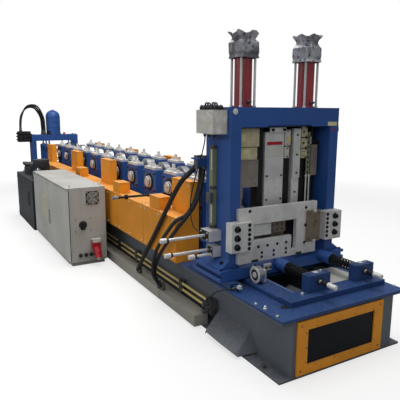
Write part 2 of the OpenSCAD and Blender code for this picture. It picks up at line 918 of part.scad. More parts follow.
// Spindle with a turned end that stands out over the guard
module size_spindle() {
    x = station_x(1) - 34;
    y = guard_y0 - 200;
    z = 870;
    color(black) {
        rod_y(x, y - 70, z, 30, 70);
        rod_y(x, y, z, 22, -y - block_span / 2);
        rod_y(x, y + 55, z, 46, 24);
    }
}

manifold_z = 1250;

module entry_manifold() {
    color(black)
        block([punch_x0 + 30, -half_width - 150, 1040], [punch_x0 + 200, -punch_y, manifold_z]);
}

function unit(v) = v / norm(v);
function along(p, i) = unit(p[min(i + 1, len(p) - 1)] - p[max(i - 1, 0)]);
function ring(c, t, ref, r, n) =
    let (s = unit(cross(t, ref)), u = cross(s, t))
    [for (k = [0 : n - 1]) c + r * (cos(360 * k / n) * s + sin(360 * k / n) * u)];

// Hose of diameter d through points p; ref is a direction that the hose never takes
module hose(p, d, ref, n) {
    m = len(p);
    polyhedron(
        points = [for (i = [0 : m - 1]) each ring(p[i], along(p, i), ref, d / 2, n)],
        faces = concat(
            [[for (k = [n - 1 : -1 : 0]) k]],
            [[for (k = [0 : n - 1]) (m - 1) * n + k]],
            [for (i = [0 : m - 2], k = [0 : n - 1])
                [i * n + k, i * n + (k + 1) % n, (i + 1) * n + (k + 1) % n]],
            [for (i = [0 : m - 2], k = [0 : n - 1])
                [i * n + k, (i + 1) * n + (k + 1) % n, (i + 1) * n + k]]));
}

conduit_d = 38;
conduit_path = [
    [-1040, -545, 1300], [-1040, -545, 1262], [-1104, -585, 1180], [-1200, -624, 1075],
    [-1620, -628, 620], [-2046, -622, 170], [-2068, -604, 134], [-2068, -604, 104]
];

module conduit() {
    color(black) hose(conduit_path, conduit_d, [0, 1, 0], 12);
}

hose_d = 30;
hose_path = [
    [-1010, -500, 1300], [-1010, -500, 1250], [-1018, -520, 1100], [-1040, -560, 960],
    [-1090, -610, 850], [-1180, -645, 745], [-1430, -662, 500],
    [-1540, -662, 370], [-1600, -655, 250], [-1606, -630, 170], [-1604, -612, 130], [-1604, -612, 104]
];
second_hose_path = [
    [-1060, -500, 1300], [-1060, -500, 1250], [-1064, -514, 1100], [-1086, -548, 960],
    [-1128, -592, 858], [-1196, -664, 790], [-1424, -698, 545],
    [-1520, -698, 400], [-1560, -690, 270], [-1550, -650, 180], [-1540, -602, 132], [-1540, -602, 104]
];

module portal_hoses() {
    color(black)
        for (p = [hose_path, second_hose_path])
            hose(p, hose_d, [0, 1, 0], 10);
}

cable_d = 9;
box_cable_path = [
    [-900, -560, 1500], [-900, -560, 1450], [-906, -572, 1380], [-928, -588, 1280],
    [-965, -600, 1180], [-1000, -606, 1080], [-1025, -610, 980], [-1026, -608, 880],
    [-1000, -598, 800], [-950, -580, 764], [-905, -560, 770], [-880, -560, 770]
];

module box_cable() {
    color(black) hose(box_cable_path, cable_d, [0, 1, 0], 8);
}

sensor_cable_path = [
    [-545, -520, 440], [-545, -548, 440], [-562, -578, 436], [-610, -602, 415],
    [-680, -610, 370], [-740, -610, 310], [-790, -604, 262], [-834, -582, 245],
    [-868, -544, 258], [-880, -506, 250], [-880, -506, 223]
];

module sensor_cable() {
    color(black) hose(sensor_cable_path, cable_d, [0.2, 0.3, 1], 8);
}

entry_hose_x = [for (d = [65, 115, 165]) punch_x0 + d];
entry_hose_d = 32;

module entry_hoses() {
    color(black)
        for (i = [0 : 2]) {
            x = entry_hose_x[i];
            y = -215 + 20 * i;
            low_y = -half_width - 90;
            rise = 20 * i;
            hose([[x, low_y, manifold_z], [x, low_y, 1350], [x, low_y + 30, 1560],
                  [x, low_y + 140, 1710 + rise], [x, y - 135, 1715 + rise],
                  [x, y - 20, 1540], [x, y, 1320], [x, y, punch_beam_z1]],
                 entry_hose_d, [1, 0, 0], 10);
        }
}

floor_beams();
cross_plates();
exit_deck();
cover_sheet();
panel_frame();
end_panel();
scrap_chute();
hydraulic_pipes();
pipe_couplings();
cable_tray();
machine_bed();
stand_blocks();
stand_caps();
size_spindle();
fixed_rolls();
upper_roll(0);  // upper_roll_1
upper_roll(1);  // upper_roll_2
upper_roll(2);  // upper_roll_3
lower_roll(0);  // lower_roll_1
lower_roll(1);  // lower_roll_2
lower_roll(2);  // lower_roll_3
side_guards();
guard_hoods();
cabinet_body();
left_cabinet_door();
right_cabinet_door();
main_switch();
fan_grille();
power_inlet();
shear_saddle();
portal_posts();
rear_plate();
portal_beam();
guide_posts();
cylinder_barrels();
cylinder_heads();
tie_rods();
film_wraps();
junction_box();
linear_scale();
side_clamps();
die_plate();
die_clamps();
oiled_plates();
spring_rods();
buffer_springs();
support_wheel();
piston_rods();
ram_back();
blade_plates();
leveller();
punch_frame();
punch_cylinder();
entry_manifold();
hydraulic_station();
conduit();
portal_hoses();
box_cable();
sensor_cable();
entry_hoses();
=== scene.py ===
"""Dresses the roll forming machine: finishes for its CAD pieces, small parts, lights and camera."""

import math
import random
from itertools import product

import bmesh
import bpy
from mathutils import Matrix, Vector


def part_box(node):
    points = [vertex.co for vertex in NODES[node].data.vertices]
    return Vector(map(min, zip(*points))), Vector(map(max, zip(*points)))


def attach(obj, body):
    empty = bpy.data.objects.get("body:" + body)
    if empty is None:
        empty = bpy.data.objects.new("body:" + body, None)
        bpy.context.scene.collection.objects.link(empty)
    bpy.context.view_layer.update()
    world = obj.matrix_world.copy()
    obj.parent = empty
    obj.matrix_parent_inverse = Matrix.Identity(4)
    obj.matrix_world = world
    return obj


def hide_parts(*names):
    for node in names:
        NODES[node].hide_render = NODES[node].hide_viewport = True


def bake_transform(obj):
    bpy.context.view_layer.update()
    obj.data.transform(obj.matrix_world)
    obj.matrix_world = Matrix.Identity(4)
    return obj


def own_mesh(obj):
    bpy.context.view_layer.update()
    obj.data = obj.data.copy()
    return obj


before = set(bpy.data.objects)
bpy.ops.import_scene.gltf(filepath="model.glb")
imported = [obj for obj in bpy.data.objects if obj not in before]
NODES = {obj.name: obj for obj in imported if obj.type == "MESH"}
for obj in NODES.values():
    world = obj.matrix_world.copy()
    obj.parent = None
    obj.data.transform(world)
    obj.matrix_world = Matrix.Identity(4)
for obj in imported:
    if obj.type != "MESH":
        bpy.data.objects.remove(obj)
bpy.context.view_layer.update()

X = Vector((1, 0, 0))
Y = Vector((0, 1, 0))
Z = Vector((0, 0, 1))


# Places that several sections share, in metres

CYLINDER_X = -0.815
CYLINDER_Y = (-0.295, 0.295)
BUFFER_Y = (-0.08, 0.355)
BUFFER_Z = 0.53
SHAFT_Z = (0.93, 0.67)
DECK_TOP = 0.42
SADDLE_FRONT = -0.615
RAM_FACE = -0.74
PORTAL_FRONT = -0.65
SIDES = (-1, 1)
# faces that meet at less than this are shaded as one
SMOOTH_ANGLE = math.radians(38)


# Camera

CAMERA_AZIMUTH = math.radians(60.18)
CAMERA_ELEVATION = math.radians(10.55)
CAMERA_ROLL = math.radians(0.19)
CAMERA_PLACE = Vector((2.0541, -2.2914, 1.65))
CAMERA_LENS = 42.59


def place_camera():
    back = Vector((
        math.sin(CAMERA_AZIMUTH) * math.cos(CAMERA_ELEVATION),
        -math.cos(CAMERA_AZIMUTH) * math.cos(CAMERA_ELEVATION),
        math.sin(CAMERA_ELEVATION),
    ))
    level = Z.cross(back).normalized()
    over = back.cross(level)
    right = level * math.cos(CAMERA_ROLL) + over * math.sin(CAMERA_ROLL)
    up = over * math.cos(CAMERA_ROLL) - level * math.sin(CAMERA_ROLL)
    data = bpy.data.cameras.new("photo_view")
    data.sensor_width = 36
    data.lens = CAMERA_LENS
    data.clip_end = 200
    camera = bpy.data.objects.new("photo_view", data)
    turn = Matrix((right, up, back)).transposed().to_4x4()
    camera.matrix_world = Matrix.Translation(CAMERA_PLACE) @ turn
    bpy.context.collection.objects.link(camera)
    bpy.context.scene.camera = camera


place_camera()


# Shader nodes written as sums

class Value:
    """A socket of a shader tree that takes part in Python sums."""

    def __init__(self, finish, socket):
        self.finish = finish
        self.socket = socket

    def sum(self, operation, other, swapped=False):
        pair = (other, self) if swapped else (self, other)
        return self.finish.node("Math", {"operation": operation}, {0: pair[0], 1: pair[1]})

    def __add__(self, other):
        return self.sum("ADD", other)

    __radd__ = __add__

    def __sub__(self, other):
        return self.sum("SUBTRACT", other)

    def __rsub__(self, other):
        return self.sum("SUBTRACT", other, True)

    def __mul__(self, other):
        return self.sum("MULTIPLY", other)

    __rmul__ = __mul__

    def over(self, low, high):
        """0 below low, 1 above high, smooth between."""
        return self.finish.node(
            "MapRange", {"interpolation_type": "SMOOTHSTEP"},
            {"Value": self, "From Min": low, "From Max": high})


class Tree:
    """A shader tree, whose nodes are added by node()."""

    def __init__(self, owner):
        owner.use_nodes = True
        self.tree = owner.node_tree
        self.tree.nodes.clear()

    def node(self, kind, settings, sockets, output=0):
        made = self.tree.nodes.new("ShaderNode" + kind)
        for key, setting in settings.items():
            setattr(made, key, setting)
        for key, value in sockets.items():
            socket = made.inputs[key]
            if isinstance(value, Value):
                self.tree.links.new(value.socket, socket)
            else:
                socket.default_value = value
        return Value(self, made.outputs[output]) if made.outputs else None


class Finish(Tree):
    """One material; its textures lie in the object's own metres."""

    def __init__(self, name):
        self.material = bpy.data.materials.new(name)
        super().__init__(self.material)
        self.place = self.node("TexCoord", {}, {}, "Object")

    def noise(self, scale, detail=4.0, roughness=0.55, stretch=(1, 1, 1)):
        point = self.node("VectorMath", {"operation": "MULTIPLY"}, {0: self.place, 1: stretch})
        return self.node("TexNoise", {}, {
            "Vector": point, "Scale": scale, "Detail": detail, "Roughness": roughness})

    def cells(self, scale):
        return self.node("TexVoronoi", {"feature": "F1"}, {"Vector": self.place, "Scale": scale})

    def blend(self, share, first, second):
        """Colour from first to second."""
        return self.node("Mix", {"data_type": "RGBA"}, {0: share, 6: first, 7: second}, 2)

    def edges(self, width):
        """1 along sharp edges, 0 on flat faces."""
        rounded = self.node("Bevel", {"samples": 6}, {"Radius": width})
        plain = self.node("NewGeometry", {}, {}, "Normal")
        likeness = self.node("VectorMath", {"operation": "DOT_PRODUCT"}, {0: rounded, 1: plain}, "Value")
        return (1 - likeness) * 6

    def occlusion_shade(self, reach):
        """1 deep in corners and under covers, 0 in the open: the mask for painted shade."""
        shade = self.node("AmbientOcclusion", {"samples": 6}, {"Distance": reach}, "AO")
        return (1 - shade).over(0.25, 0.85)

    def facing_up(self):
        normal = self.node("NewGeometry", {}, {}, "Normal")
        return self.node("SeparateXYZ", {}, {"Vector": normal}, "Z").over(0.3, 0.9)

    def surface(self, colour, roughness, metallic=0.0, height=None, depth=0.001, soft_edge=0.0, **sockets):
        shader = {"Base Color": colour, "Roughness": roughness, "Metallic": metallic}
        for key, value in sockets.items():
            shader[key.replace("_", " ")] = value
        normal = None
        if soft_edge:
            normal = self.node("Bevel", {"samples": 6}, {"Radius": soft_edge})
        if height is not None:
            bump = {"Height": height, "Distance": depth, "Strength": 1.0}
            if normal is not None:
                bump["Normal"] = normal
            normal = self.node("Bump", {}, bump)
        if normal is not None:
            shader["Normal"] = normal
        body = self.node("BsdfPrincipled", {}, shader)
        self.node("OutputMaterial", {}, {"Surface": body})
        return self.material


def colour(red, green, blue):
    """Shader colour from the 0 to 255 values of a screen."""
    def linear(level):
        level /= 255
        return level / 12.92 if level <= 0.04045 else ((level + 0.055) / 1.055) ** 2.4
    return (linear(red), linear(green), linear(blue), 1.0)


def shade(tone, factor):
    return tuple(min(1.0, level * factor) for level in tone[:3]) + (1.0,)


# Finishes

def paint(name, tone, roughness=0.38, wear=0.5, dust=0.35, grain=0.00022, under=(60, 58, 55)):
    """Sprayed enamel with orange peel, rubbed edges, dust on top faces and painted shade in corners."""
    f = Finish(name)
    clouds = f.noise(2.2, 3)
    fine = f.noise(38, 4)
    peel = f.noise(420, 2, 0.5)
    streaks = f.noise(9, 4, 0.6, (1, 1, 0.12))
    corner_shade = f.occlusion_shade(0.12)
    rub = (f.edges(0.004) * (fine + 0.35)).over(0.45, 0.95) * wear
    base = f.blend(clouds.over(0.3, 0.7), shade(tone, 0.9), shade(tone, 1.1))
    base = f.blend(streaks.over(0.52, 0.74) * 0.35, base, shade(tone, 0.72))
    # painted shade: darker in corners and under covers
    base = f.blend(corner_shade * 0.7, base, shade(tone, 0.38))
    base = f.blend(f.facing_up() * fine.over(0.35, 0.75) * dust, base, colour(150, 146, 138))
    specks = f.noise(150, 2, 0.6).over(0.67, 0.74)
    base = f.blend(specks * 0.35, base, shade(tone, 0.5))
    base = f.blend(rub, base, colour(*under))
    rough = roughness + fine * 0.16 + corner_shade * 0.25 + rub * 0.1
    return f.surface(base, rough, rub * 0.5, peel * 0.35 + fine * 0.2, grain, 0.0022)


def bare_metal(name, tone, roughness=0.3, lines=(1, 1, 40), oil=0.25, stain=(70, 58, 42), metallic=0.9):
    """Milled steel: tool lines, oily patches, painted shade in the corners and a painted highlight along the
    edges.
    """
    f = Finish(name)
    brushed = f.noise(26, 3, 0.6, lines)
    clouds = f.noise(7, 4)
    fine = f.noise(70, 4)
    corner_shade = f.occlusion_shade(0.05)
    edge_highlight = (f.edges(0.003) * (fine + 0.4)).over(0.4, 0.9)
    base = f.blend(clouds.over(0.3, 0.7), shade(tone, 0.82), shade(tone, 1.12))
    base = f.blend(brushed.over(0.35, 0.7) * 0.3, base, shade(tone, 0.66))
    base = f.blend(clouds.over(0.52, 0.72) * oil, base, colour(*stain))
    # painted shade: darker in corners
    base = f.blend(corner_shade * 0.6, base, shade(tone, 0.3))
    # painted highlight: lighter along the sharp edges
    base = f.blend(edge_highlight * 0.6, base, shade(tone, 1.5))
    rough = roughness + brushed * 0.18 + clouds * 0.12
    return f.surface(base, rough, metallic, brushed * 0.6 + fine * 0.3, 0.00018, 0.0016)


def black_gloss(name):
    """Gloss black sheet with fine scratches and a film of dust."""
    f = Finish(name)
    scratch = f.noise(30, 3, 0.7, (1, 1, 9))
    dust = f.noise(160, 4).over(0.5, 0.8)
    base = f.blend(dust * 0.25, colour(10, 14, 22), colour(34, 40, 52))
    return f.surface(base, 0.16 + dust * 0.3, 0.0, scratch, 0.00006, 0.001, Specular_IOR_Level=0.22)


def plastic(name, tone, roughness=0.45, grain=520.0):
    """Moulded plastic with a fine pebble grain and handling marks."""
    f = Finish(name)
    pebble = f.noise(grain, 2)
    marks = f.noise(22, 4)
    corner_shade = f.occlusion_shade(0.03)
    base = f.blend(marks.over(0.4, 0.75) * 0.5, tone, shade(tone, 1.7))
    # painted shade: darker in corners
    base = f.blend(corner_shade * 0.6, base, shade(tone, 0.4))
    return f.surface(base, roughness + marks * 0.15, 0.0, pebble, 0.0001, 0.0012)


def rubber_hose(name):
    """Black rubber hose: cloth wrap marks along it and grey dust."""
    f = Finish(name)
    wrap = f.noise(240, 3, 0.6)
    dust = f.noise(30, 4)
    base = f.blend(dust.over(0.45, 0.8) * 0.55, colour(20, 21, 24), colour(66, 67, 70))
    return f.surface(base, 0.42 + dust * 0.25, 0.0, wrap, 0.0004)


def wrapping_film(name):
    """Crumpled packing film with faint round prints, seen over dark metal."""
    f = Finish(name)
    crease = f.noise(16, 6, 0.75)
    fold = f.noise(5, 3, 0.6)
    dots = f.cells(26)
    dot = 1 - dots.over(0.26, 0.34)
    base = f.blend(fold.over(0.35, 0.7), colour(92, 92, 100), colour(196, 194, 196))
    base = f.blend(dot * 0.75, base, colour(46, 58, 104))
    base = f.blend(crease.over(0.6, 0.8) * 0.8, base, colour(226, 226, 228))
    return f.surface(base, 0.16 + fold * 0.2, 0.0, crease, 0.004, Coat_Weight=0.4)


def barrel_red(name):
    f = Finish(name)
    fine = f.noise(60, 4)
    run = f.noise(12, 3, 0.5, (1, 1, 0.1))
    tone = colour(154, 50, 58)
    base = f.blend(run.over(0.35, 0.7), shade(tone, 0.75), shade(tone, 1.2))
    # painted shade: darker in corners
    base = f.blend(f.occlusion_shade(0.05) * 0.6, base, shade(tone, 0.3))
    return f.surface(base, 0.22 + fine * 0.15, 0.0, fine, 0.0002, Coat_Weight=0.3)


BLUE = colour(40, 82, 150)
YELLOW = colour(242, 156, 34)
GREY = colour(97, 102, 110)
CABINET = colour(176, 174, 168)

finish = {
    "blue": paint("blue_enamel", BLUE, 0.34, 0.4, 0.08, under=(96, 104, 120)),
    "deck": paint("deck_enamel", colour(28, 66, 122), 0.36, 0.75, 0.12, under=(120, 118, 116)),
    "yellow": paint("guard_yellow", YELLOW, 0.42, 0.25, 0.45, under=(150, 110, 60)),
    "grey": paint("frame_grey", GREY, 0.45, 0.5, 0.3, under=(110, 108, 104)),
    "tray": paint("tray_grey", colour(166, 162, 152), 0.4, 0.9, 0.25, under=(190, 188, 184)),
    "cabinet": paint("cabinet_powder", CABINET, 0.5, 0.15, 0.05, 0.0004, under=(120, 118, 112)),
    # painted light: the doors on the lit long side take a lighter copy of the cabinet powder
    "door": paint("lit_cabinet_powder", colour(202, 200, 194), 0.5, 0.15, 0.05, 0.0004, under=(120, 118, 112)),
    "dark": paint("tank_dark", colour(46, 49, 54), 0.4, 0.5, 0.3, under=(90, 90, 90)),
    "beige": plastic("beige_plastic", colour(186, 176, 142), 0.45, 700),
    "sheet": bare_metal("brown_sheet", colour(158, 148, 136), 0.4, oil=0.3, metallic=0.45),
    "olive": paint("scale_olive", colour(128, 134, 104), 0.4, 0.4, 0.1),
    "white": paint("rod_white", colour(206, 204, 196), 0.35, 0.2, 0.1),
    "steel": bare_metal("milled_steel", colour(238, 236, 232), 0.32, metallic=0.5),
    # brownish steel with large dark brown patches
    "oiled": bare_metal("brownish_steel", colour(150, 136, 118), 0.26, oil=0.7, stain=(92, 72, 50),
        metallic=0.75),
    "chrome": bare_metal("ground_roll_steel", colour(196, 196, 196), 0.14, (40, 1, 40), 0.15),
    "dull": bare_metal("dull_steel", colour(120, 120, 120), 0.42, oil=0.4),
    "black_steel": bare_metal("blacked_steel", colour(34, 35, 38), 0.38, oil=0.1, metallic=0.5),
    "pipe": bare_metal("yellow_zinc_pipe", colour(250, 222, 150), 0.3, (0.2, 8, 8), 0.12,
        (140, 104, 50), 0.4),
    "panel": black_gloss("panel_black"),
    "black": plastic("black_plastic", colour(24, 25, 28)),
    "box": plastic("box_grey_plastic", colour(200, 196, 188), 0.45, 700),
    "red": plastic("plug_red", colour(176, 24, 42), 0.3),
    "hose": rubber_hose("rubber_hose"),
    "film": wrapping_film("packing_film"),
    "barrel": barrel_red("cylinder_red"),
    # lighter copy of the deck blue, for painted highlights along edges
    "highlight_blue": paint("highlight_blue_enamel", colour(96, 118, 156), 0.3, 0.9, 0.2, under=(170, 172, 176)),
    "amber": plastic("amber_lens", colour(176, 122, 56), 0.3, 300),
    "label": plastic("plain_label", colour(206, 196, 150), 0.5, 300),
}

# The CAD nodes of each finish
NODES_OF = {
    "grey": "floor_beams cross_plates scrap_chute",
    "deck": "exit_deck",
    "white": "cover_sheet tie_rods",
    "yellow": "panel_frame side_guards guard_hoods",
    "panel": "end_panel",
    "pipe": "hydraulic_pipes",
    "dull": "pipe_couplings cylinder_heads",
    "tray": "cable_tray",
    "blue": "machine_bed stand_blocks shear_saddle portal_posts portal_beam leveller punch_frame "
        "punch_cylinder",
    "steel": "stand_caps side_clamps die_plate die_clamps spring_rods blade_plates",
    "black_steel": "size_spindle guide_posts buffer_springs ram_back entry_manifold",
    "chrome": "fixed_rolls support_wheel piston_rods upper_roll_1 lower_roll_1 upper_roll_2 lower_roll_2 "
        "upper_roll_3 lower_roll_3",
    "cabinet": "cabinet_body",
    "door": "left_cabinet_door right_cabinet_door",
    "black": "main_switch fan_grille",
    "red": "power_inlet",
    "barrel": "cylinder_barrels",
    "film": "film_wraps",
    "box": "junction_box",
    "olive": "linear_scale",
    "oiled": "oiled_plates",
    "dark": "hydraulic_station",
    "hose": "conduit portal_hoses box_cable sensor_cable entry_hoses",
}

for key, names in NODES_OF.items():
    for name in names.split():
        node = NODES[name]
        node.data.materials.clear()
        node.data.materials.append(finish[key])


# Small parts

class Piece:
    """Gathers simple shapes into one mesh."""

    def __init__(self):
        self.mesh = bmesh.new()

    def box(self, low, high, edge=0.0):
        low, high = Vector(low), Vector(high)
        middle = (low + high) / 2
        size = [max(abs(s), 1e-5) for s in high - low]
        place = Matrix.Translation(middle) @ Matrix.Diagonal((*size, 1))
        made = bmesh.ops.create_cube(self.mesh, size=1.0, matrix=place)
        if edge:
            corners = {e for v in made["verts"] for e in v.link_edges}
            bmesh.ops.bevel(self.mesh, geom=list(corners), offset=edge, segments=2, affect="EDGES")

    def rod(self, start, end, radius, sides=24, end_radius=None):
        start, end = Vector(start), Vector(end)
        along = end - start
        turn = along.to_track_quat("Z", "Y").to_matrix().to_4x4()
        bmesh.ops.create_cone(
            self.mesh, cap_ends=True, segments=sides, radius1=radius,
            radius2=radius if end_radius is None else end_radius, depth=along.length,
            matrix=Matrix.Translation((start + end) / 2) @ turn)

    def turned(self, centre, axis, profile, sides=36, closed=False):
        """Turns a profile of (radius, height) points about an axis."""
        centre, axis = Vector(centre), Vector(axis).normalized()
        turn = axis.to_track_quat("Z", "Y").to_matrix()
        rows = []
        for radius, height in profile:
            row = []
            for i in range(sides):
                angle = 2 * math.pi * i / sides
                spot = Vector((radius * math.cos(angle), radius * math.sin(angle), height))
                row.append(self.mesh.verts.new(centre + turn @ spot))
            rows.append(row)
        pairs = list(zip(rows, rows[1:]))
        if closed:
            pairs.append((rows[-1], rows[0]))
        for low, high in pairs:
            for i in range(sides):
                k = (i + 1) % sides
                self.mesh.faces.new((low[i], low[k], high[k], high[i]))
        if not closed:
            self.mesh.faces.new(list(reversed(rows[0])))
            self.mesh.faces.new(rows[-1])

    def socket_screw(self, place, axis, size):
        """Cap screw with a socket; size is the head's diameter."""
        r = size / 2
        height = size * 0.62
        profile = [(r * 0.94, 0), (r, height * 0.1), (r, height * 0.85), (r * 0.9, height),
                   (r * 0.55, height), (r * 0.5, height * 0.45)]
        self.turned(place, axis, profile, 16)

    def round_head(self, place, axis, radius, height, top_radius, top_height, sides=14):
        """Straight up to height, then narrower up to top_height."""
        self.turned(place, axis, [(radius, 0), (radius, height), (top_radius, top_height)], sides)

    def hex_bolt(self, place, axis, size):
        """Hexagon head on a washer; size is the width over flats."""
        place, axis = Vector(place), Vector(axis).normalized()
        self.rod(place, place + axis * size * 0.12, size * 0.66, 20)
        self.rod(place + axis * size * 0.12, place + axis * size * 0.62, size * 0.577, 6)
        self.rod(place + axis * size * 0.62, place + axis * size * 0.78, size * 0.3, 12)

    def tube(self, points, radius, sides=10):
        """Round bar that follows points, with flat ends."""
        path = [Vector(p) for p in points]
        forward = [(b - a).normalized() for a, b in zip(path, path[1:])]
        tangents = [forward[0]] + [(a + b).normalized() for a,
            b in zip(forward, forward[1:])] + [forward[-1]]
        side = tangents[0].orthogonal().normalized()
        rows = []
        for point, tangent in zip(path, tangents):
            side = (side - tangent * side.dot(tangent)).normalized()
            other = tangent.cross(side)
            row = []
            for i in range(sides):
                angle = 2 * math.pi * i / sides
                spot = side * math.cos(angle) + other * math.sin(angle)
                row.append(self.mesh.verts.new(point + spot * radius))
            rows.append(row)
        for low, high in zip(rows, rows[1:]):
            for i in range(sides):
                k = (i + 1) % sides
                self.mesh.faces.new((low[i], low[k], high[k], high[i]))
        self.mesh.faces.new(list(reversed(rows[0])))
        self.mesh.faces.new(rows[-1])

    def make(self, name, key, body, *nodes, slot=None):
        """Turns the shapes into one object with the finish's material; slot is not used."""
        bmesh.ops.recalc_face_normals(self.mesh, faces=self.mesh.faces)
        for edge in self.mesh.edges:
            edge.smooth = len(edge.link_faces) == 2 and edge.calc_face_angle(0) < SMOOTH_ANGLE
        for face in self.mesh.faces:
            face.smooth = True
        data = bpy.data.meshes.new(name)
        self.mesh.to_mesh(data)
        self.mesh.free()
        data.materials.append(finish[key])
        piece = bpy.data.objects.new(name, data)
        bpy.context.collection.objects.link(piece)
        if body:
            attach(piece, body)
        if nodes:
            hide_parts(*nodes)
        return piece


waiting = []


def pieces(body, **finishes):
    """An empty piece for each name given; the loop after the last part turns them into objects."""
    made = [Piece() for _ in finishes]
    waiting.extend(zip(made, finishes, finishes.values(), [body] * len(made)))
    return made


def curve_through(points, steps):
    """Smooth line through the points."""
    path = [Vector(p) for p in points]
    ends = [path[0] * 2 - path[1]] + path + [path[-1] * 2 - path[-2]]
    line = []
    for a, b, c, d in zip(ends, ends[1:], ends[2:], ends[3:]):
        for k in range(steps):
            t = k / steps
            line.append(0.5 * (2 * b + (c - a) * t + (2 * a - 5 * b + 4 * c - d) * t * t
                               + (3 * b - a - 3 * c + d) * t * t * t))
    line.append(path[-1])
    return line


# Hoses and cables

CONDUIT_D = 0.038
HOSE_D = 0.03
CABLE_D = 0.009
ENTRY_HOSE_D = 0.032

conduit_path = [
    (-1.04, -0.545, 1.3), (-1.04, -0.545, 1.262), (-1.104, -0.585, 1.18), (-1.2, -0.624, 1.075),
    (-1.62, -0.628, 0.62), (-2.046, -0.622, 0.17), (-2.068, -0.604, 0.134), (-2.068, -0.604, 0.104)]
hose_path = [
    (-1.01, -0.5, 1.3), (-1.01, -0.5, 1.25), (-1.018, -0.52, 1.1), (-1.04, -0.56, 0.96),
    (-1.09, -0.61, 0.85), (-1.18, -0.645, 0.745), (-1.43, -0.662, 0.5), (-1.54, -0.662, 0.37),
    (-1.6, -0.655, 0.25), (-1.606, -0.63, 0.17), (-1.604, -0.612, 0.13), (-1.604, -0.612, 0.104)]
second_hose_path = [
    (-1.06, -0.5, 1.3), (-1.06, -0.5, 1.25), (-1.064, -0.514, 1.1), (-1.086, -0.548, 0.96),
    (-1.128, -0.592, 0.858), (-1.196, -0.664, 0.79), (-1.424, -0.698, 0.545), (-1.52, -0.698, 0.4),
    (-1.56, -0.69, 0.27), (-1.55, -0.65, 0.18), (-1.54, -0.602, 0.132), (-1.54, -0.602, 0.104)]
box_cable_path = [
    (-0.9, -0.56, 1.5), (-0.9, -0.56, 1.45), (-0.906, -0.572, 1.38), (-0.928, -0.588, 1.28),
    (-0.965, -0.6, 1.18), (-1.0, -0.606, 1.08), (-1.025, -0.61, 0.98), (-1.026, -0.608, 0.88),
    (-1.0, -0.598, 0.8), (-0.95, -0.58, 0.764), (-0.905, -0.56, 0.77), (-0.88, -0.56, 0.77)]
sensor_cable_path = [
    (-0.545, -0.52, 0.44), (-0.545, -0.548, 0.44), (-0.562, -0.578, 0.436), (-0.61, -0.602, 0.415),
    (-0.68, -0.61, 0.37), (-0.74, -0.61, 0.31), (-0.79, -0.604, 0.262), (-0.834, -0.582, 0.245),
    (-0.868, -0.544, 0.258), (-0.88, -0.506, 0.25), (-0.88, -0.506, 0.223)]
entry_paths = []
for i in range(3):
    x, y, rise = -8.165 + 0.05 * i, -0.215 + 0.02 * i, 0.02 * i
    entry_paths.append([
        (x, -0.64, 1.25), (x, -0.64, 1.35), (x, -0.61, 1.56), (x, -0.5, 1.71 + rise),
        (x, y - 0.135, 1.715 + rise), (x, y - 0.02, 1.54), (x, y, 1.32), (x, y, 1.18)])


def line_length(line):
    return sum((b - a).length for a, b in zip(line, line[1:]))


def lay_cord(name, points, diameter, body, node, moving_end=None):
    """Smooth tube along the points, whose ends both go into the machine."""
    line = curve_through(points, 6)
    tube = Piece()
    tube.tube(line, diameter / 2, 14)
    cord = tube.make(name, "hose", body, node)
    if moving_end:
        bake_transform(cord)
    line_length(line)


lay_cord("conduit_line", conduit_path, CONDUIT_D, None, "conduit",
         ((-1.04, -0.6, 1.2), (-1.9, -0.6, 0.3)))
lay_cord("portal_hose_front", hose_path, HOSE_D, None, "portal_hoses",
         ((-1.02, -0.5, 1.2), (-1.58, -0.65, 0.25)))
lay_cord("portal_hose_back", second_hose_path, HOSE_D, None, "portal_hoses",
         ((-1.06, -0.5, 1.2), (-1.55, -0.68, 0.25)))
lay_cord("box_cable_line", box_cable_path, CABLE_D, "carriage", "box_cable")
lay_cord("sensor_cable_line", sensor_cable_path, CABLE_D, "machine", "sensor_cable")
for i, path in enumerate(entry_paths):
    lay_cord("entry_hose_%d" % (i + 1), path, ENTRY_HOSE_D, "machine", "entry_hoses")


def ferrule(piece, end, along, diameter, nut, sleeve, length):
    """Hexagon nut and a crimped sleeve that narrows along the hose."""
    end = Vector(end)
    piece.rod(end, end + along * 0.03, diameter * nut, 6)
    piece.rod(end + along * 0.03, end + along * length, diameter * sleeve, 20, diameter * 0.53)


sleeves, upper_sleeves = Piece(), Piece()
portal_lines = ((hose_path, HOSE_D), (second_hose_path, HOSE_D), (conduit_path, CONDUIT_D))
for path, diameter in portal_lines:
    ferrule(sleeves, path[-1], Z, diameter, 0.72, 0.6, 0.07)
for path in entry_paths:
    for end in (path[0], path[-1]):
        ferrule(sleeves, end, Z, ENTRY_HOSE_D, 0.75, 0.62, 0.09)
sleeves.make("hose_ferrules", "dull", "machine")
for path, diameter in portal_lines:
    ferrule(upper_sleeves, path[0], -Z, diameter, 0.72, 0.6, 0.07)
    top = Vector(path[0])
    upper_sleeves.rod(top + Z * 0.012, top + Z * 0.03, diameter * 0.72, 6)
upper_sleeves.make("arm_ferrules", "dull", "carriage")


# Packing film over the cylinder tops

film_random = random.Random(7)


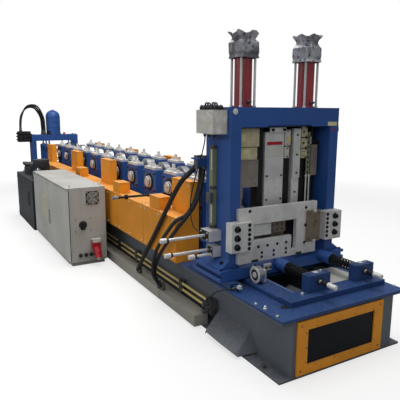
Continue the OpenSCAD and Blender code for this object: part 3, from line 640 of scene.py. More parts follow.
def wrap_film(name, y, lift, phase):
    """Bag of film tied round a cylinder head, its loose end gathered above."""
    sides, rows = 72, 22
    low, top, high = 2.024, 2.123, 2.196 + lift
    half_width, half_corner = 0.0865, 0.108
    made = Piece()
    shell = made.mesh
    grid = []
    area = 0.0
    for row in range(rows):
        t = row / (rows - 1)
        z = low + (high - low) * t
        over = max(0.0, (z - top - 0.006) / (high - top))
        ring = []
        for k in range(sides):
            angle = 2 * math.pi * k / sides
            c, n = math.cos(angle), math.sin(angle)
            square = min(half_width / max(abs(c), abs(n)), half_corner)
            pleat = 0.0045 * math.sin(9 * angle + phase + 3 * t)
            pleat += 0.003 * math.sin(17 * angle - 5 * t + phase)
            tie = -0.006 * math.exp(-((t - 0.12) / 0.07) ** 2)
            neck = -0.03 * math.sin(math.pi * min(1.0, over * 1.15)) if over else 0.0
            reach = square + pleat * (0.6 + over) + tie + neck
            ragged = 0.012 * math.sin(5 * angle + phase) * over + film_random.uniform(-0.0015, 0.0015)
            spot = Vector((CYLINDER_X + reach * c, y + reach * n, z + ragged))
            ring.append(shell.verts.new(spot))
        grid.append(ring)
    for lower, upper in zip(grid, grid[1:]):
        for k in range(sides):
            face = shell.faces.new((lower[k], lower[(k + 1) % sides], upper[(k + 1) % sides], upper[k]))
            area += face.calc_area()
    # crumpled top that sinks between the edges
    rim = grid[-1]
    for ring_index in range(1, 5):
        share = 1 - ring_index / 5
        ring = []
        for k in range(sides):
            edge = rim[k].co
            angle = 2 * math.pi * k / sides
            drop = 0.028 * ring_index ** 0.7 + 0.006 * math.sin(7 * angle + phase * 2 + ring_index)
            ring.append(shell.verts.new(Vector((
                CYLINDER_X + (edge.x - CYLINDER_X) * share, y + (edge.y - y) * share,
                max(top + 0.004, edge.z - drop)))))
        last = rim if ring_index == 1 else inner
        for k in range(sides):
            face = shell.faces.new((last[k], last[(k + 1) % sides], ring[(k + 1) % sides], ring[k]))
            area += face.calc_area()
        inner = ring
    face = shell.faces.new(inner)
    area += face.calc_area()
    piece = made.make(name, "film", "carriage", "film_wraps")
    solid = piece.modifiers.new("thickness", "SOLIDIFY")
    solid.thickness = 0.0006
    solid.offset = 0
    width = 0.8
    area / width


wrap_film("film_wrap_left", -0.295, 0.0, 0.4)
wrap_film("film_wrap_right", 0.295, 0.022, 2.1)


# Buffer springs

def helix(start, length, radius, turns, steps=20):
    """Points of a coil that runs along X from start."""
    points = []
    for k in range(turns * steps + 1):
        angle = 2 * math.pi * k / steps
        points.append((
            start[0] + length * k / (turns * steps),
            start[1] + radius * math.cos(angle), start[2] + radius * math.sin(angle)))
    return points


springs = Piece()
for y in BUFFER_Y:
    springs.tube(helix((-0.4895, y, BUFFER_Z), 0.239, 0.0345, 9), 0.0055, 8)
    springs.rod((-0.4945, y, BUFFER_Z), (-0.2455, y, BUFFER_Z), 0.0208, 24)
coil = springs.make("spring_coils", "black_steel", "machine", "buffer_springs")
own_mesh(coil)


# Stands

STATIONS = [-1.53 - 0.48 * i for i in range(11)]
STAND_SIDES = ((-0.3, -1), (0.3, 1))


def shaft_end(piece, x, y, z, side):
    """Lock nut with slots and a centre hole on the end of a shaft."""
    out = Y * side
    piece.turned((x, y + side * 0.022, z), out,
                 [(0.036, 0), (0.05, 0.002), (0.052, 0.005), (0.052, 0.011), (0.049, 0.014),
                  (0.036, 0.014)], 24)
    for k in range(4):
        angle = math.pi / 2 * k + 0.4
        spot = Vector((x + 0.051 * math.cos(angle), y + side * 0.029, z + 0.051 * math.sin(angle)))
        piece.box(spot - Vector((0.005, 0.007, 0.005)), spot + Vector((0.005, 0.007, 0.005)), 0.001)
    piece.turned((x, y + side * 0.0395, z), out,
                 [(0.033, 0), (0.033, 0.0006), (0.01, 0.0008), (0.009, 0.0002)], 20)


covers, seats, cap_parts, stand_bolts, shaft_nuts = pieces(
    "machine", bearing_covers="black_steel", bearing_seats="steel", cap_bolts="steel",
    stand_bolts="black_steel", shaft_nuts="steel")
for number, x in enumerate(STATIONS):
    for y, side in STAND_SIDES:
        out = Y * side
        for z in SHAFT_Z:
            covers.turned((x, y, z), out, [
                (0.037, 0), (0.09, 0), (0.09, 0.006), (0.084, 0.01), (0.07, 0.01), (0.066, 0.005),
                (0.037, 0.005)], 40, True)
            seats.turned((x, y + side * 0.005, z), out, [
                (0.0365, 0), (0.062, 0), (0.062, 0.007), (0.058, 0.009), (0.0365, 0.009)], 32, True)
            for k in range(6):
                angle = math.pi / 3 * k + 0.3
                covers.socket_screw(
                    (x + 0.077 * math.cos(angle), y + side * 0.009, z + 0.077 * math.sin(angle)), out,
                    0.009)
            if number > 2:
                shaft_end(shaft_nuts, x, y, z, side)
        middle = y - side * 0.045
        for dx in (-0.095, 0.095):
            cap_parts.hex_bolt((x + dx, middle, 1.085), Z, 0.03)
        cap_parts.rod((x, middle, 1.085), (x, middle, 1.091), 0.034, 24)
        cap_parts.rod((x, middle, 1.091), (x, middle, 1.115), 0.03, 6)
        for turn in range(7):
            cap_parts.turned((x, middle, 1.118 + 0.005 * turn), Z,
                [(0.0165, 0), (0.0182, 0.0012), (0.0165, 0.0026)], 16)
        cap_parts.box((x - 0.1, middle - 0.03, 1.0595), (x - 0.055, middle + 0.03, 1.0855), 0.0015)
        for dx, z in product((-0.13, 0.13), (1.02, 0.845)):
            stand_bolts.socket_screw((x + dx, y, z), out, 0.02)
        stand_bolts.box((x - 0.15, y - 0.003 * side, 0.835), (x + 0.15, y + side * 0.0025, 0.839), 0.0005)
for number in (1, 2, 3):
    for row, z in (("upper", 0.93), ("lower", 0.67)):
        nuts = Piece()
        for y, side in STAND_SIDES:
            shaft_end(nuts, STATIONS[number - 1], y, z, side)
        nuts.make("%s_shaft_nuts_%d" % (row, number), "steel", "%s_%d" % (row, number))


# Guards

def guard_panels():
    """Bent sheets with open seams along both guards, lids on the hoods and their screws."""
    sheets, screws = pieces("machine", guard_sheets="yellow", guard_screws="steel")
    seams = [-1.292, -1.965, -2.655, -3.26, -4.34, -5.54, -6.688]
    for side, proud, sunk in ((-1, 0.0025, 0.0), (1, 0.0008, 0.0042)):
        out = Y * side
        for right, left in zip(seams, seams[1:]):
            low_x, high_x = left + 0.003, right - 0.003
            sheets.box((low_x, side * 0.597, 0.424), (high_x, side * (0.6 + proud), 0.7975), 0.0003)
            sheets.box((low_x, side * 0.388, 0.7965), (high_x, side * (0.5997 + proud), 0.7995), 0.0009)
            for x in (low_x + 0.04, (low_x + high_x) / 2, high_x - 0.04):
                for z in (0.452, 0.77):
                    screws.round_head((x, side * (0.6 + proud - sunk), z), out, 0.009, 0.002, 0.005, 0.005)
                screws.round_head((x, side * 0.575, 0.7995), Z, 0.008, 0.002, 0.004, 0.004)
    for first, side in product((-1.29, -3.25, -4.63, -6.2), SIDES):
        inner, outer = sorted((side * 0.466, side * 0.385))
        sheets.box((first - 0.338, inner - 0.003, 1.083), (first + 0.003, outer + 0.003, 1.088), 0.0012)
        for x in (first - 0.3, first - 0.035):
            screws.socket_screw((x, side * 0.4255, 1.088), Z, 0.014)
        for z, x in product((0.84, 1.05), (first - 0.31, first - 0.025)):
            screws.round_head((x, side * 0.466, z), Y * side, 0.008, 0.002, 0.004, 0.004)
    for first, side in product((-1.641, -2.62, -4.11), SIDES):
        inner, outer = sorted((side * 0.586, side * 0.47))
        sheets.box((first - 0.203, inner - 0.002, 0.908), (first + 0.003, outer + 0.002, 0.914), 0.0012)
        for x in (first - 0.18, first - 0.02):
            screws.socket_screw((x, (inner + outer) / 2, 0.914), Z, 0.012)


# Electric cabinet

CABINET_X0, CABINET_X1 = -4.595, -2.867
CABINET_Y0, CABINET_Y1 = -1.084, -0.665
GLAND_Y = (-0.96, -0.9, -0.845, -0.795)


def cabinet_parts():
    body, dark, plates, plug, collar, plug_tip = pieces(
        "machine", cabinet_edges="cabinet", cabinet_dark_parts="black", cabinet_fittings="steel",
        inlet_cover="box", plug_collar="red", plug_tip="box")
    left_leaf, label = pieces("left_door", left_door_face="door", left_door_label="label")
    right_leaf, handle = pieces("right_door", right_door_face="door", door_handle="black")
    body.box((CABINET_X0 - 0.001, CABINET_Y0 + 0.001, 0.8515),
        (CABINET_X1 + 0.001, CABINET_Y1, 0.8545), 0.001)
    for y in (CABINET_Y0 + 0.04, CABINET_Y1 - 0.02):
        body.box((CABINET_X1 - 0.0008, y - 0.0015, 0.06), (CABINET_X1 + 0.0012, y + 0.0015, 0.83), 0.0004)
    for x, y in product((CABINET_X0 + 0.05, CABINET_X1 - 0.05), (CABINET_Y0 + 0.05, CABINET_Y1 - 0.05)):
        plates.turned((x, y, 0.8545), Z, [(0.02, 0), (0.02, 0.004), (0.011, 0.006), (0.011, 0.014)], 20)
        ring = [(x + 0.014 * math.cos(a), y, 0.88 + 0.014 * math.sin(a))
                for a in [2 * math.pi * k / 20 for k in range(21)]]
        plates.tube(ring, 0.0045, 8)
    # fan guard
    middle = Vector((CABINET_X1 + 0.01, -0.807, 0.74))
    for radius in (0.016, 0.028, 0.04, 0.052, 0.062):
        ring = [middle + Vector((0.003, radius * math.cos(a), radius * math.sin(a)))
                for a in [2 * math.pi * k / 28 for k in range(29)]]
        plates.tube(ring, 0.0016, 6)
    for k in range(4):
        a = math.pi / 4 + math.pi / 2 * k
        tip = middle + Vector((0.002, 0.088 * math.cos(a), 0.088 * math.sin(a)))
        plates.tube([middle + Vector((0.002, 0, 0)), tip], 0.0019, 6)
        plates.socket_screw(tip - Vector((0.003, 0, 0)), X, 0.01)
    dark.turned(middle - Vector((0.001, 0, 0)), X,
        [(0.064, 0), (0.064, 0.0016), (0.02, 0.0022), (0.019, 0.003)], 32)
    # switch plate
    dark.turned((CABINET_X1, -0.92, 0.45), X,
        [(0.044, 0), (0.044, 0.003), (0.04, 0.005), (0.036, 0.005)], 32)
    dark.box((CABINET_X1, -0.945, 0.395), (CABINET_X1 + 0.004, -0.895, 0.45), 0.003)
    for dy, dz in product((-0.082, 0.082), (-0.065, 0.065)):
        dark.socket_screw((CABINET_X1, -0.92 + dy, 0.45 + dz), X, 0.01)
    # glands low on the end
    for y in GLAND_Y:
        spot = Vector((CABINET_X1, y, 0.115))
        dark.rod(spot, spot + X * 0.01, 0.022, 6)
        dark.turned(spot + X * 0.01, X, [(0.018, 0), (0.019, 0.012), (0.014, 0.022), (0.009, 0.024),
            (0.008, 0.03)], 20)
    # hinges
    for z, x in product((0.18, 0.46, 0.73), (CABINET_X0 + 0.012, CABINET_X1 - 0.012)):
        plates.rod((x, CABINET_Y0 + 0.01, z - 0.028), (x, CABINET_Y0 + 0.01, z + 0.028), 0.0085, 16)

    x0, x1 = CABINET_X0 + 0.03, -3.7345
    left_leaf.box((x0, CABINET_Y0 - 0.0012, 0.085), (x1 - 0.02, CABINET_Y0 + 0.002, 0.8), 0.001)
    label.box((-4.08, CABINET_Y0 - 0.0022, 0.36), (-3.93, CABINET_Y0 - 0.0008, 0.64), 0.0004)
    right_leaf.box((-3.7075, CABINET_Y0 - 0.0012, 0.085), (CABINET_X1 - 0.03, CABINET_Y0 + 0.002, 0.8), 0.001)
    handle.box((-3.72, CABINET_Y0 - 0.006, 0.31), (-3.69, CABINET_Y0, 0.49), 0.003)
    handle.box((-3.7145, CABINET_Y0 - 0.0219, 0.332), (-3.6955, CABINET_Y0 - 0.0205, 0.468), 0.0006)
    handle.round_head((-3.705, CABINET_Y0 - 0.019, 0.345), -Y, 0.0105, 0.002, 0.004, 0.003, 18)

    plug.box((CABINET_X1 + 0.001, -0.842, 0.276), (CABINET_X1 + 0.062, -0.738, 0.292), 0.004)
    plug.box((CABINET_X1 + 0.04, -0.836, 0.25), (CABINET_X1 + 0.06, -0.744, 0.285), 0.004)
    root = Vector((CABINET_X1 + 0.044, -0.79, 0.195))
    # the plug leans out by 30 degrees as it hangs
    lean = math.radians(150)
    way = Vector((math.sin(lean), 0, math.cos(lean)))
    collar.turned(root + way * 0.04, way, [(0.0375, 0), (0.041, 0.004), (0.041, 0.026), (0.0375, 0.03)], 36)
    collar.turned(root + way * 0.085, way,
        [(0.0375, 0), (0.0395, 0.002), (0.0395, 0.008), (0.0375, 0.01)], 36)
    plug_tip.turned(root + way * 0.1195, way, [(0.026, 0), (0.024, 0.01), (0.014, 0.012), (0.013, 0.022)], 30)


# Deck

def deck_parts():
    bolts, dark, edge_highlight, sensor, cap = pieces(
        "machine", deck_bolts="steel", deck_sockets="black", worn_edges="highlight_blue", sensor_stem="steel",
        sensor_cap="dull")
    # edge bolts of the deck plate and round hole
    for x, side in product((-1.05, -0.9, -0.28, -0.06), SIDES):
        bolts.socket_screw((x, side * 0.532, DECK_TOP), Z, 0.018)
    dark.turned((-0.153, -0.397, 0.4205), Z,
        [(0.028, 0), (0.028, 0.0012), (0.024, 0.0012), (0.023, 0.0006)], 28)
    bolts.turned((-0.194, -0.524, DECK_TOP), Z,
        [(0.013, 0), (0.013, 0.006), (0.008, 0.008), (0.008, 0.02), (0.005, 0.022)], 20)
    # painted highlight: lighter strip along the inner edge of the raised bar
    edge_highlight.box((-0.7, -0.256, 0.4592), (-0.245, -0.2405, 0.4612), 0.0006)
    # socket screws of the spring blocks
    for y, half in zip(BUFFER_Y, (0.0975, 0.089)):
        for dx, dy in product((-0.228, -0.195), (-half + 0.024, half - 0.024)):
            dark.turned((dx, y + dy, 0.5797), Z,
                [(0.01, 0), (0.01, 0.0012), (0.007, 0.0012), (0.006, 0.0004)], 20)
        dark.turned((-0.178, y, BUFFER_Z), X,
            [(0.026, 0), (0.026, 0.005), (0.024, 0.007), (0.0165, 0.007)], 32)
        dark.turned((-0.247, y, BUFFER_Z), -X,
            [(0.044, 0), (0.044, 0.005), (0.04, 0.008), (0.022, 0.008)], 32)
        # painted highlight: lighter strip along the top edge of each spring block
        edge_highlight.box((-0.2445, y - half + 0.002, 0.5785), (-0.2405, y + half - 0.002, 0.5806), 0.0006)
        bolts.box((-0.238, y - 0.02, 0.58), (-0.204, y + 0.016, 0.5845), 0.001)
        bolts.rod((-0.215, y + 0.04, 0.58), (-0.215, y + 0.04, 0.594), 0.009, 6)
    # nut beside the near block
    bolts.rod((-0.185, -0.225, 0.46), (-0.185, -0.225, 0.474), 0.01, 6)
    # sensor by the opening
    sensor.box((-0.5295, -0.518, 0.446), (-0.49, -0.492, 0.4545), 0.001)
    sensor.rod((-0.506, -0.505, 0.455), (-0.506, -0.505, 0.476), 0.011, 24)
    sensor.turned((-0.506, -0.505, 0.462), Z,
        [(0.011, 0), (0.017, 0.001), (0.017, 0.006), (0.011, 0.007)], 6)
    cap.round_head((-0.506, -0.505, 0.476), Z, 0.0105, 0.006, 0.008, 0.009, 20)
    cap.turned((-0.545, -0.519, 0.44), -Y,
        [(0.009, 0), (0.009, 0.004), (0.007, 0.012), (0.0055, 0.022)], 18)


# Buffer rods on the cut-off

def buffer_parts():
    ends, dark = pieces("carriage", buffer_rod_ends="steel", buffer_collars="black_steel")
    for y in BUFFER_Y:
        # knurled end
        for k in range(12):
            ends.turned((-0.092 + 0.005 * k, y, BUFFER_Z), X,
                [(0.017, 0), (0.0183, 0.0013), (0.017, 0.0026)], 24)
        ends.turned((-0.0305, y, BUFFER_Z), X,
            [(0.016, 0), (0.014, 0.003), (0.008, 0.0035), (0.007, 0.001)], 24)
        dark.turned((-0.158, y, BUFFER_Z), X,
            [(0.014, 0), (0.0175, 0.004), (0.0175, 0.052), (0.016, 0.06)], 30)
        dark.turned((-0.496, y, BUFFER_Z), X,
            [(0.022, 0), (0.043, 0), (0.043, 0.003), (0.04, 0.005), (0.022, 0.005)], 36)


# Support wheel

def wheel_parts():
    face, dark = Piece(), Piece()
    centre = Vector((-0.515, -0.372, 0.5208))
    face.turned(centre, -Y,
        [(0.04, 0), (0.0595, 0), (0.06, 0.0015), (0.0575, 0.0028), (0.042, 0.0028)], 48, True)
    dark.turned(centre, -Y, [(0.04, 0), (0.04, 0.0012), (0.026, 0.0014), (0.025, 0.0006)], 40)
    face.turned(centre - Y * 0.0005, -Y,
        [(0.022, 0), (0.022, 0.003), (0.016, 0.005), (0.007, 0.005), (0.006, 0.003)], 32)
    face.make("wheel_rim", "steel", "wheel", slot="roll_chrome")
    dark.make("wheel_seal", "black", "wheel")
    arm = Piece()
    for x in (-0.6, -0.572):
        arm.socket_screw((x, -0.307, 0.5516), Z, 0.017)
    arm.make("wheel_arm_screws", "black_steel", "carriage")


# Cut-off portal

def clamp_parts():
    bolts, sets, blocks = pieces(
        "carriage", clamp_bolts="black_steel", clamp_set_screws="black_steel", clamp_lips="steel")
    front = -0.575
    for y, z in product((-0.485, 0.44), (0.72, 0.785, 0.85)):
        bolts.socket_screw((front, y, z), X, 0.036)
        bolts.round_head((front, y, z), X, 0.024, 0.0012, 0.018, 0.0016, 24)
    for y, k in product((-0.382, 0.362), range(6)):
        z = 0.7 + 0.034 * k
        sets.round_head((front, y, z), X, 0.013, 0.003, 0.009, 0.004, 16)
        sets.round_head((front + 0.0035, y, z), X, 0.006, 0.006, 0.004, 0.007, 10)
    # chamfered lips on the clamps
    for low_y, high_y in ((-0.529, -0.357), (0.346, 0.509)):
        blocks.box((front - 0.001, low_y + 0.001, 0.8875), (front + 0.001, high_y - 0.001, 0.8895), 0.0006)
        blocks.box((front - 0.001, low_y + 0.001, 0.681), (front + 0.001, high_y - 0.001, 0.683), 0.0006)


def die_parts():
    screws, brown, inner, slots, behind = pieces(
        "carriage", die_screws="black_steel", oiled_screws="dull", die_clips="steel", die_slots="black",
        window_back="oiled")
    face = SADDLE_FRONT
    for y in (-0.271, -0.187, -0.097, -0.012):
        screws.turned((face, y, 0.687), X,
            [(0.0115, 0), (0.0115, 0.001), (0.006, 0.0012), (0.005, 0.0003)], 16)
    for y, z in product((-0.238, -0.128, -0.012), (0.639, 0.607)):
        screws.turned((face, y, z), X, [(0.011, 0), (0.011, 0.001), (0.006, 0.0012), (0.005, 0.0003)], 16)
    for y, z in ((0.172, 0.937), (0.172, 0.798), (0.168, 0.662), (-0.353, 0.958)):
        screws.socket_screw((face - 0.006, y, z), X, 0.0155)
        # rim of its counterbore
        slots.turned((face, y, z), X,
            [(0.0085, 0), (0.0125, 0), (0.012, 0.0008), (0.0085, 0.0008)], 24, True)
    for y in (-0.3, 0.115):
        slots.box((face - 0.0004, y - 0.03, 0.577), (face + 0.0012, y + 0.03, 0.594), 0.0004)
    for y, z in ((-0.06, 0.846), (-0.16, 0.748), (0.06, 0.72)):
        slots.box((-0.667, y - 0.034, z - 0.006), (-0.655, y + 0.034, z + 0.006), 0.001)
    # brownish block with round screws behind the window
    for y, z in product((-0.1, -0.055, -0.01), (0.78, 0.818)):
        brown.turned((-0.67, y, z), X, [(0.013, 0), (0.013, 0.003), (0.009, 0.005), (0.008, 0.003)], 24)
    # brownish plate beside the window: screws and clips
    for y, z in product((0.2, 0.286), (0.69, 0.885)):
        brown.socket_screw((-0.599, y, z), X, 0.013)
    for z in (0.905, 0.668):
        inner.box((-0.6, 0.236, z - 0.01), (-0.592, 0.262, z + 0.01), 0.0015)
        inner.socket_screw((-0.592, 0.249, z), X, 0.009)
    inner.box((-0.6535, -0.34, 0.762), (-0.6525, -0.132, 0.838), 0.0003)
    behind.box((-0.692, -0.4148, 0.7), (-0.688, 0.02, 0.905), 0.001)
    behind.box((-0.688, -0.33, 0.728), (-0.676, -0.07, 0.742), 0.002)


def side_clamp_parts():
    tips, dark = pieces("carriage", side_clamp_tips="steel", side_clamp_faces="black_steel")
    for x, y, z in ((-0.82, -0.915, 0.77), (-0.825, -0.88, 0.656), (-0.785, -0.71, 0.632)):
        for k in range(7):
            tips.turned((x, y - 0.004 - 0.005 * k, z), -Y,
                [(0.017, 0), (0.0182, 0.0012), (0.017, 0.0026)], 18)
        tips.turned((x, y - 0.0435, z), -Y,
            [(0.015, 0), (0.012, 0.003), (0.006, 0.003), (0.0055, 0.001)], 20)
        dark.rod((x, y + 0.001, z), (x, y + 0.016, z), 0.0165, 6)
    for y, z, half, low in ((-0.605, 0.77, 0.06, 0.039), (-0.57, 0.65, 0.045, 0.038)):
        dark.box((-0.88 if half > 0.05 else -0.85, y - 0.0012, z - low + 0.002),
            (-0.762, y + 0.002, z + low - 0.002), 0.0008)
        for dx, dz in product((-0.102, -0.018), (-low + 0.014, low - 0.014)):
            tips.socket_screw((-0.76 + dx * half / 0.06, y - 0.0012, z + dz), -Y, 0.012)


def ram_parts():
    """Blocks, screws and boxes on the two blade plates, which all move with the ram."""
    silver, dark, pale, marks, beige, olive = pieces(
        "ram", ram_blocks="steel", ram_dark_parts="black_steel", ram_plate="white", red_strips="red",
        ram_boxes="box", ram_square="pipe")
    # nut block and its screws on the left plate
    silver.box((-0.79, -0.122, 1.5052), (-0.706, 0.03, 1.54), 0.003)
    dark.box((-0.786, -0.1245, 1.5085), (-0.712, -0.1215, 1.5365), 0.001)
    dark.box((-0.786, 0.0295, 1.5085), (-0.712, 0.0325, 1.5365), 0.001)
    for y in (-0.098, 0.006):
        dark.rod((-0.706, y, 1.522), (-0.694, y, 1.522), 0.011, 6)
    pale.box((-0.7402, -0.118, 1.322), (-0.7385, 0.02, 1.404), 0.0004)
    marks.box((-0.7402, -0.122, 1.41), (-0.7385, 0.022, 1.434), 0.0004)
    # parts between the plates
    beige.box((-0.772, 0.046, 1.4), (-0.742, 0.104, 1.52), 0.003)
    beige.box((-0.772, 0.05, 1.305), (-0.748, 0.1, 1.392), 0.003)
    olive.box((-0.7425, 0.072, 1.425), (-0.7405, 0.103, 1.468), 0.001)
    for z in (1.412, 1.508, 1.318, 1.38):
        dark.socket_screw((-0.744, 0.075, z), X, 0.01)
    dark.box((-0.7752, 0.044, 0.96), (-0.764, 0.106, 1.29), 0.001)
    for y, z in product((-0.118, 0.018), (0.93, 1.0, 1.18)):
        dark.socket_screw((RAM_FACE, y, z), X, 0.014)
    silver.box((-0.7402, 0.124, 1.15), (-0.728, 0.192, 1.528), 0.0015)
    for z in (1.19, 1.33, 1.48):
        dark.socket_screw((-0.728, 0.158, z), X, 0.014)
    for z in (0.92, 1.04):
        dark.socket_screw((RAM_FACE, 0.158, z), X, 0.014)
    # piston nuts on the crosshead
    for y in CYLINDER_Y:
        dark.rod((CYLINDER_X, y, 1.436), (CYLINDER_X, y, 1.462), 0.045, 6)


def portal_parts():
    """Boxes, strips and sheets that stand on the carriage, and the bolts of its feet."""
    bolts, labels, thin, holes, fixed, back, strip, sheet, stop = pieces(
        "carriage", portal_bolts="black_steel", portal_labels="label", thin_rods="steel",
        strip_holes="black", portal_boxes="beige", portal_strips="black_steel", perforated_strip="olive",
        portal_sheets="sheet", saddle_stop="steel")
    # bolts on the feet
    for side, x in product(SIDES, (-0.93, -0.7)):
        bolts.hex_bolt((x, side * 0.53, 0.572), Z + Y * side * 0.35, 0.028)
    # saddle bolts
    for side, x in product(SIDES, (-0.975, -0.64)):
        bolts.socket_screw((x, side * 0.575, 0.546), Z, 0.02)
    # small stop block on the saddle's front
    stop.box((-0.6155, -0.224, 0.498), (-0.598, -0.156, 0.55), 0.003)
    for y in (-0.207, -0.173):
        bolts.socket_screw((-0.598, y, 0.524), X, 0.016)
    # right side: stacked blocks, the olive strip, a box and two thin rods
    for low, high in ((1.3, 1.372), (1.378, 1.455), (1.462, 1.543)):
        fixed.box((-0.768, 0.2, low), (-0.73, 0.244, high), 0.003)
        fixed.box((-0.768, 0.244, low + 0.012), (-0.742, 0.272, high - 0.012), 0.002)
    for y, z in product((0.212, 0.232), (1.322, 1.35)):
        holes.turned((-0.73, y, z), X, [(0.005, 0), (0.005, 0.0008), (0.003, 0.0008), (0.0025, 0.0002)], 12)
    for z in (1.416, 1.502):
        holes.turned((-0.73, 0.222, z), X, [(0.01, 0), (0.01, 0.001), (0.006, 0.0014), (0.005, 0.0002)], 18)
    back.box((-0.77, 0.204, 1.0), (-0.758, 0.24, 1.298), 0.001)
    strip.box((-0.758, 0.274, 1.162), (-0.752, 0.314, 1.5), 0.001)
    for k in range(8):
        holes.turned((-0.752, 0.294, 1.185 + 0.039 * k), X,
            [(0.009, 0), (0.009, 0.0008), (0.006, 0.0008), (0.005, 0.0002)], 16)
    for y in (0.276, 0.308):
        thin.rod((-0.748, y, 0.94), (-0.748, y, 1.16), 0.006, 14)
        thin.rod((-0.748, y, 1.15), (-0.748, y, 1.166), 0.01, 6)
    sheet.box((-0.775, 0.32, 1.157), (-0.745, 0.386, 1.4), 0.004)
    thin.box((-0.77, 0.318, 1.405), (-0.76, 0.33, 1.462), 0.001)
    back.box((-0.77, 0.3, 1.365), (-0.762, 0.414, 1.43), 0.001)
    # left side: sheet with a long foot, two boxes with plain labels and a dark strip
    sheet.box((-0.733, -0.4148, 1.11), (-0.729, -0.205, 1.309), 0.0008)
    sheet.box((-0.733, -0.4148, 0.99), (-0.729, -0.345, 1.112), 0.0008)
    labels.box((-0.7292, -0.4146, 0.93), (-0.7265, -0.402, 1.5), 0.0006)
    for y, z in product((-0.395, -0.225), (1.13, 1.29)):
        holes.turned((-0.729, y, z), X,
            [(0.005, 0), (0.005, 0.0012), (0.003, 0.0012), (0.0025, 0.0004)], 12)
    fixed.box((-0.755, -0.4148, 1.403), (-0.712, -0.212, 1.538), 0.004)
    fixed.box((-0.75, -0.4148, 1.311), (-0.716, -0.225, 1.4), 0.003)
    labels.box((-0.7162, -0.385, 1.325), (-0.7152, -0.29, 1.388), 0.0003)
    labels.box((-0.7122, -0.372, 1.44), (-0.7112, -0.33, 1.5), 0.0003)
    back.box((-0.748, -0.202, 0.905), (-0.742, -0.156, 1.54), 0.001)
    # seals of the piston rods under the beam
    for y in CYLINDER_Y:
        bolts.turned((CYLINDER_X, y, 1.545), -Z,
            [(0.0325, 0), (0.046, 0), (0.046, 0.01), (0.038, 0.014), (0.0325, 0.014)], 32, True)


# Cylinders, junction box and scale on the portal

def cylinder_parts():
    rings, ports, rods = pieces(
        "carriage", barrel_rings="barrel", cylinder_ports="dull", tie_rod_nuts="steel")
    for y in CYLINDER_Y:
        for z in (1.684, 2.061):
            rings.turned((CYLINDER_X, y, z), Z,
                [(0.0632, 0), (0.069, 0), (0.069, 0.01), (0.066, 0.012), (0.0632, 0.012)], 40, True)
        for dx, dy in product((-0.059, 0.059), (-0.059, 0.059)):
            rods.rod((CYLINDER_X + dx, y + dy, 1.6835), (CYLINDER_X + dx, y + dy, 1.697), 0.0145, 6)
            rods.rod((CYLINDER_X + dx, y + dy, 2.058), (CYLINDER_X + dx, y + dy, 2.0725), 0.0145, 6)
        ports.rod((-0.754, y, 1.722), (-0.73, y, 1.722), 0.013, 6)
        ports.rod((-0.73, y, 1.722), (-0.716, y, 1.722), 0.009, 18)


def box_parts():
    """Lid, screws and plugs of the junction box, scale head and stickers."""
    lid, screws, plugs, plate, tube, head, red, disc = pieces(
        "carriage", junction_lid="box", junction_screws="steel", junction_plugs="black",
        junction_plate="blue", scale_tube="white", scale_clips="dull", portal_mark="red",
        portal_disc="white")
    lid.box((-0.922, -0.6165, 1.504), (-0.698, -0.61, 1.66), 0.002)
    lid.box((-0.6945, -0.612, 1.504), (-0.6925, -0.506, 1.66), 0.001)
    for x, z in product((-0.912, -0.708), (1.514, 1.65)):
        screws.round_head((x, -0.6165, z), -Y, 0.005, 0.0016, 0.002, 0.002)
    for x, y in product((-0.9, -0.855, -0.81, -0.765, -0.72), (-0.585, -0.54)):
        plugs.rod((x, y, 1.664), (x, y, 1.672), 0.019, 6)
        plugs.turned((x, y, 1.672), Z, [(0.016, 0), (0.017, 0.004), (0.015, 0.016), (0.011, 0.02),
            (0.008, 0.026)], 18)
    for k in range(4):
        first, last = -0.9 + 0.045 * k, -0.855 + 0.045 * k
        y = -0.585 if k % 2 else -0.54
        plugs.tube([(first, y, 1.694), (first + 0.008, y, 1.708), (first + 0.0225, y, 1.713),
                    (last - 0.008, y, 1.708), (last, y, 1.694)], 0.006, 8)
    for x in (-0.9, -0.84, -0.78):
        plugs.turned((x, -0.56, 1.5005), -Z,
            [(0.013, 0), (0.013, 0.008), (0.01, 0.01), (0.009, 0.022), (0.006, 0.026)], 20)
    plugs.round_head((-0.88, -0.56, 0.77), -X, 0.008, 0.006, 0.0055, 0.016, 16)
    plate.box((-0.94, -0.5035, 1.47), (-0.68, -0.4995, 1.676), 0.001)

    for low, high in ((0.85, 0.985), (1.24, 1.395)):
        tube.box((-0.852, -0.5365, low), (-0.836, -0.533, high), 0.001)
    for z in (0.822, 1.11, 1.402):
        head.box((-0.879, -0.536, z - 0.012), (-0.827, -0.499, z + 0.012), 0.002)
        head.box((-0.856, -0.55, z - 0.009), (-0.836, -0.533, z + 0.009), 0.0015)
        head.socket_screw((-0.868, -0.536, z), -Y, 0.009)
    head.box((-0.884, -0.56, 1.0), (-0.822, -0.532, 1.075), 0.003)

    stickers = Piece()
    stickers.box((-0.6502, 0.388, 1.548), (-0.6492, 0.482, 1.578), 0.0002)
    stickers.make("portal_plate", "label", "carriage", slot="yellow_paint")
    red.box((-0.6502, 0.434, 1.508), (-0.6492, 0.458, 1.526), 0.0002)
    disc.turned((PORTAL_FRONT, -0.468, 1.652), X,
        [(0.02, 0), (0.02, 0.003), (0.016, 0.005), (0.004, 0.005)], 28)


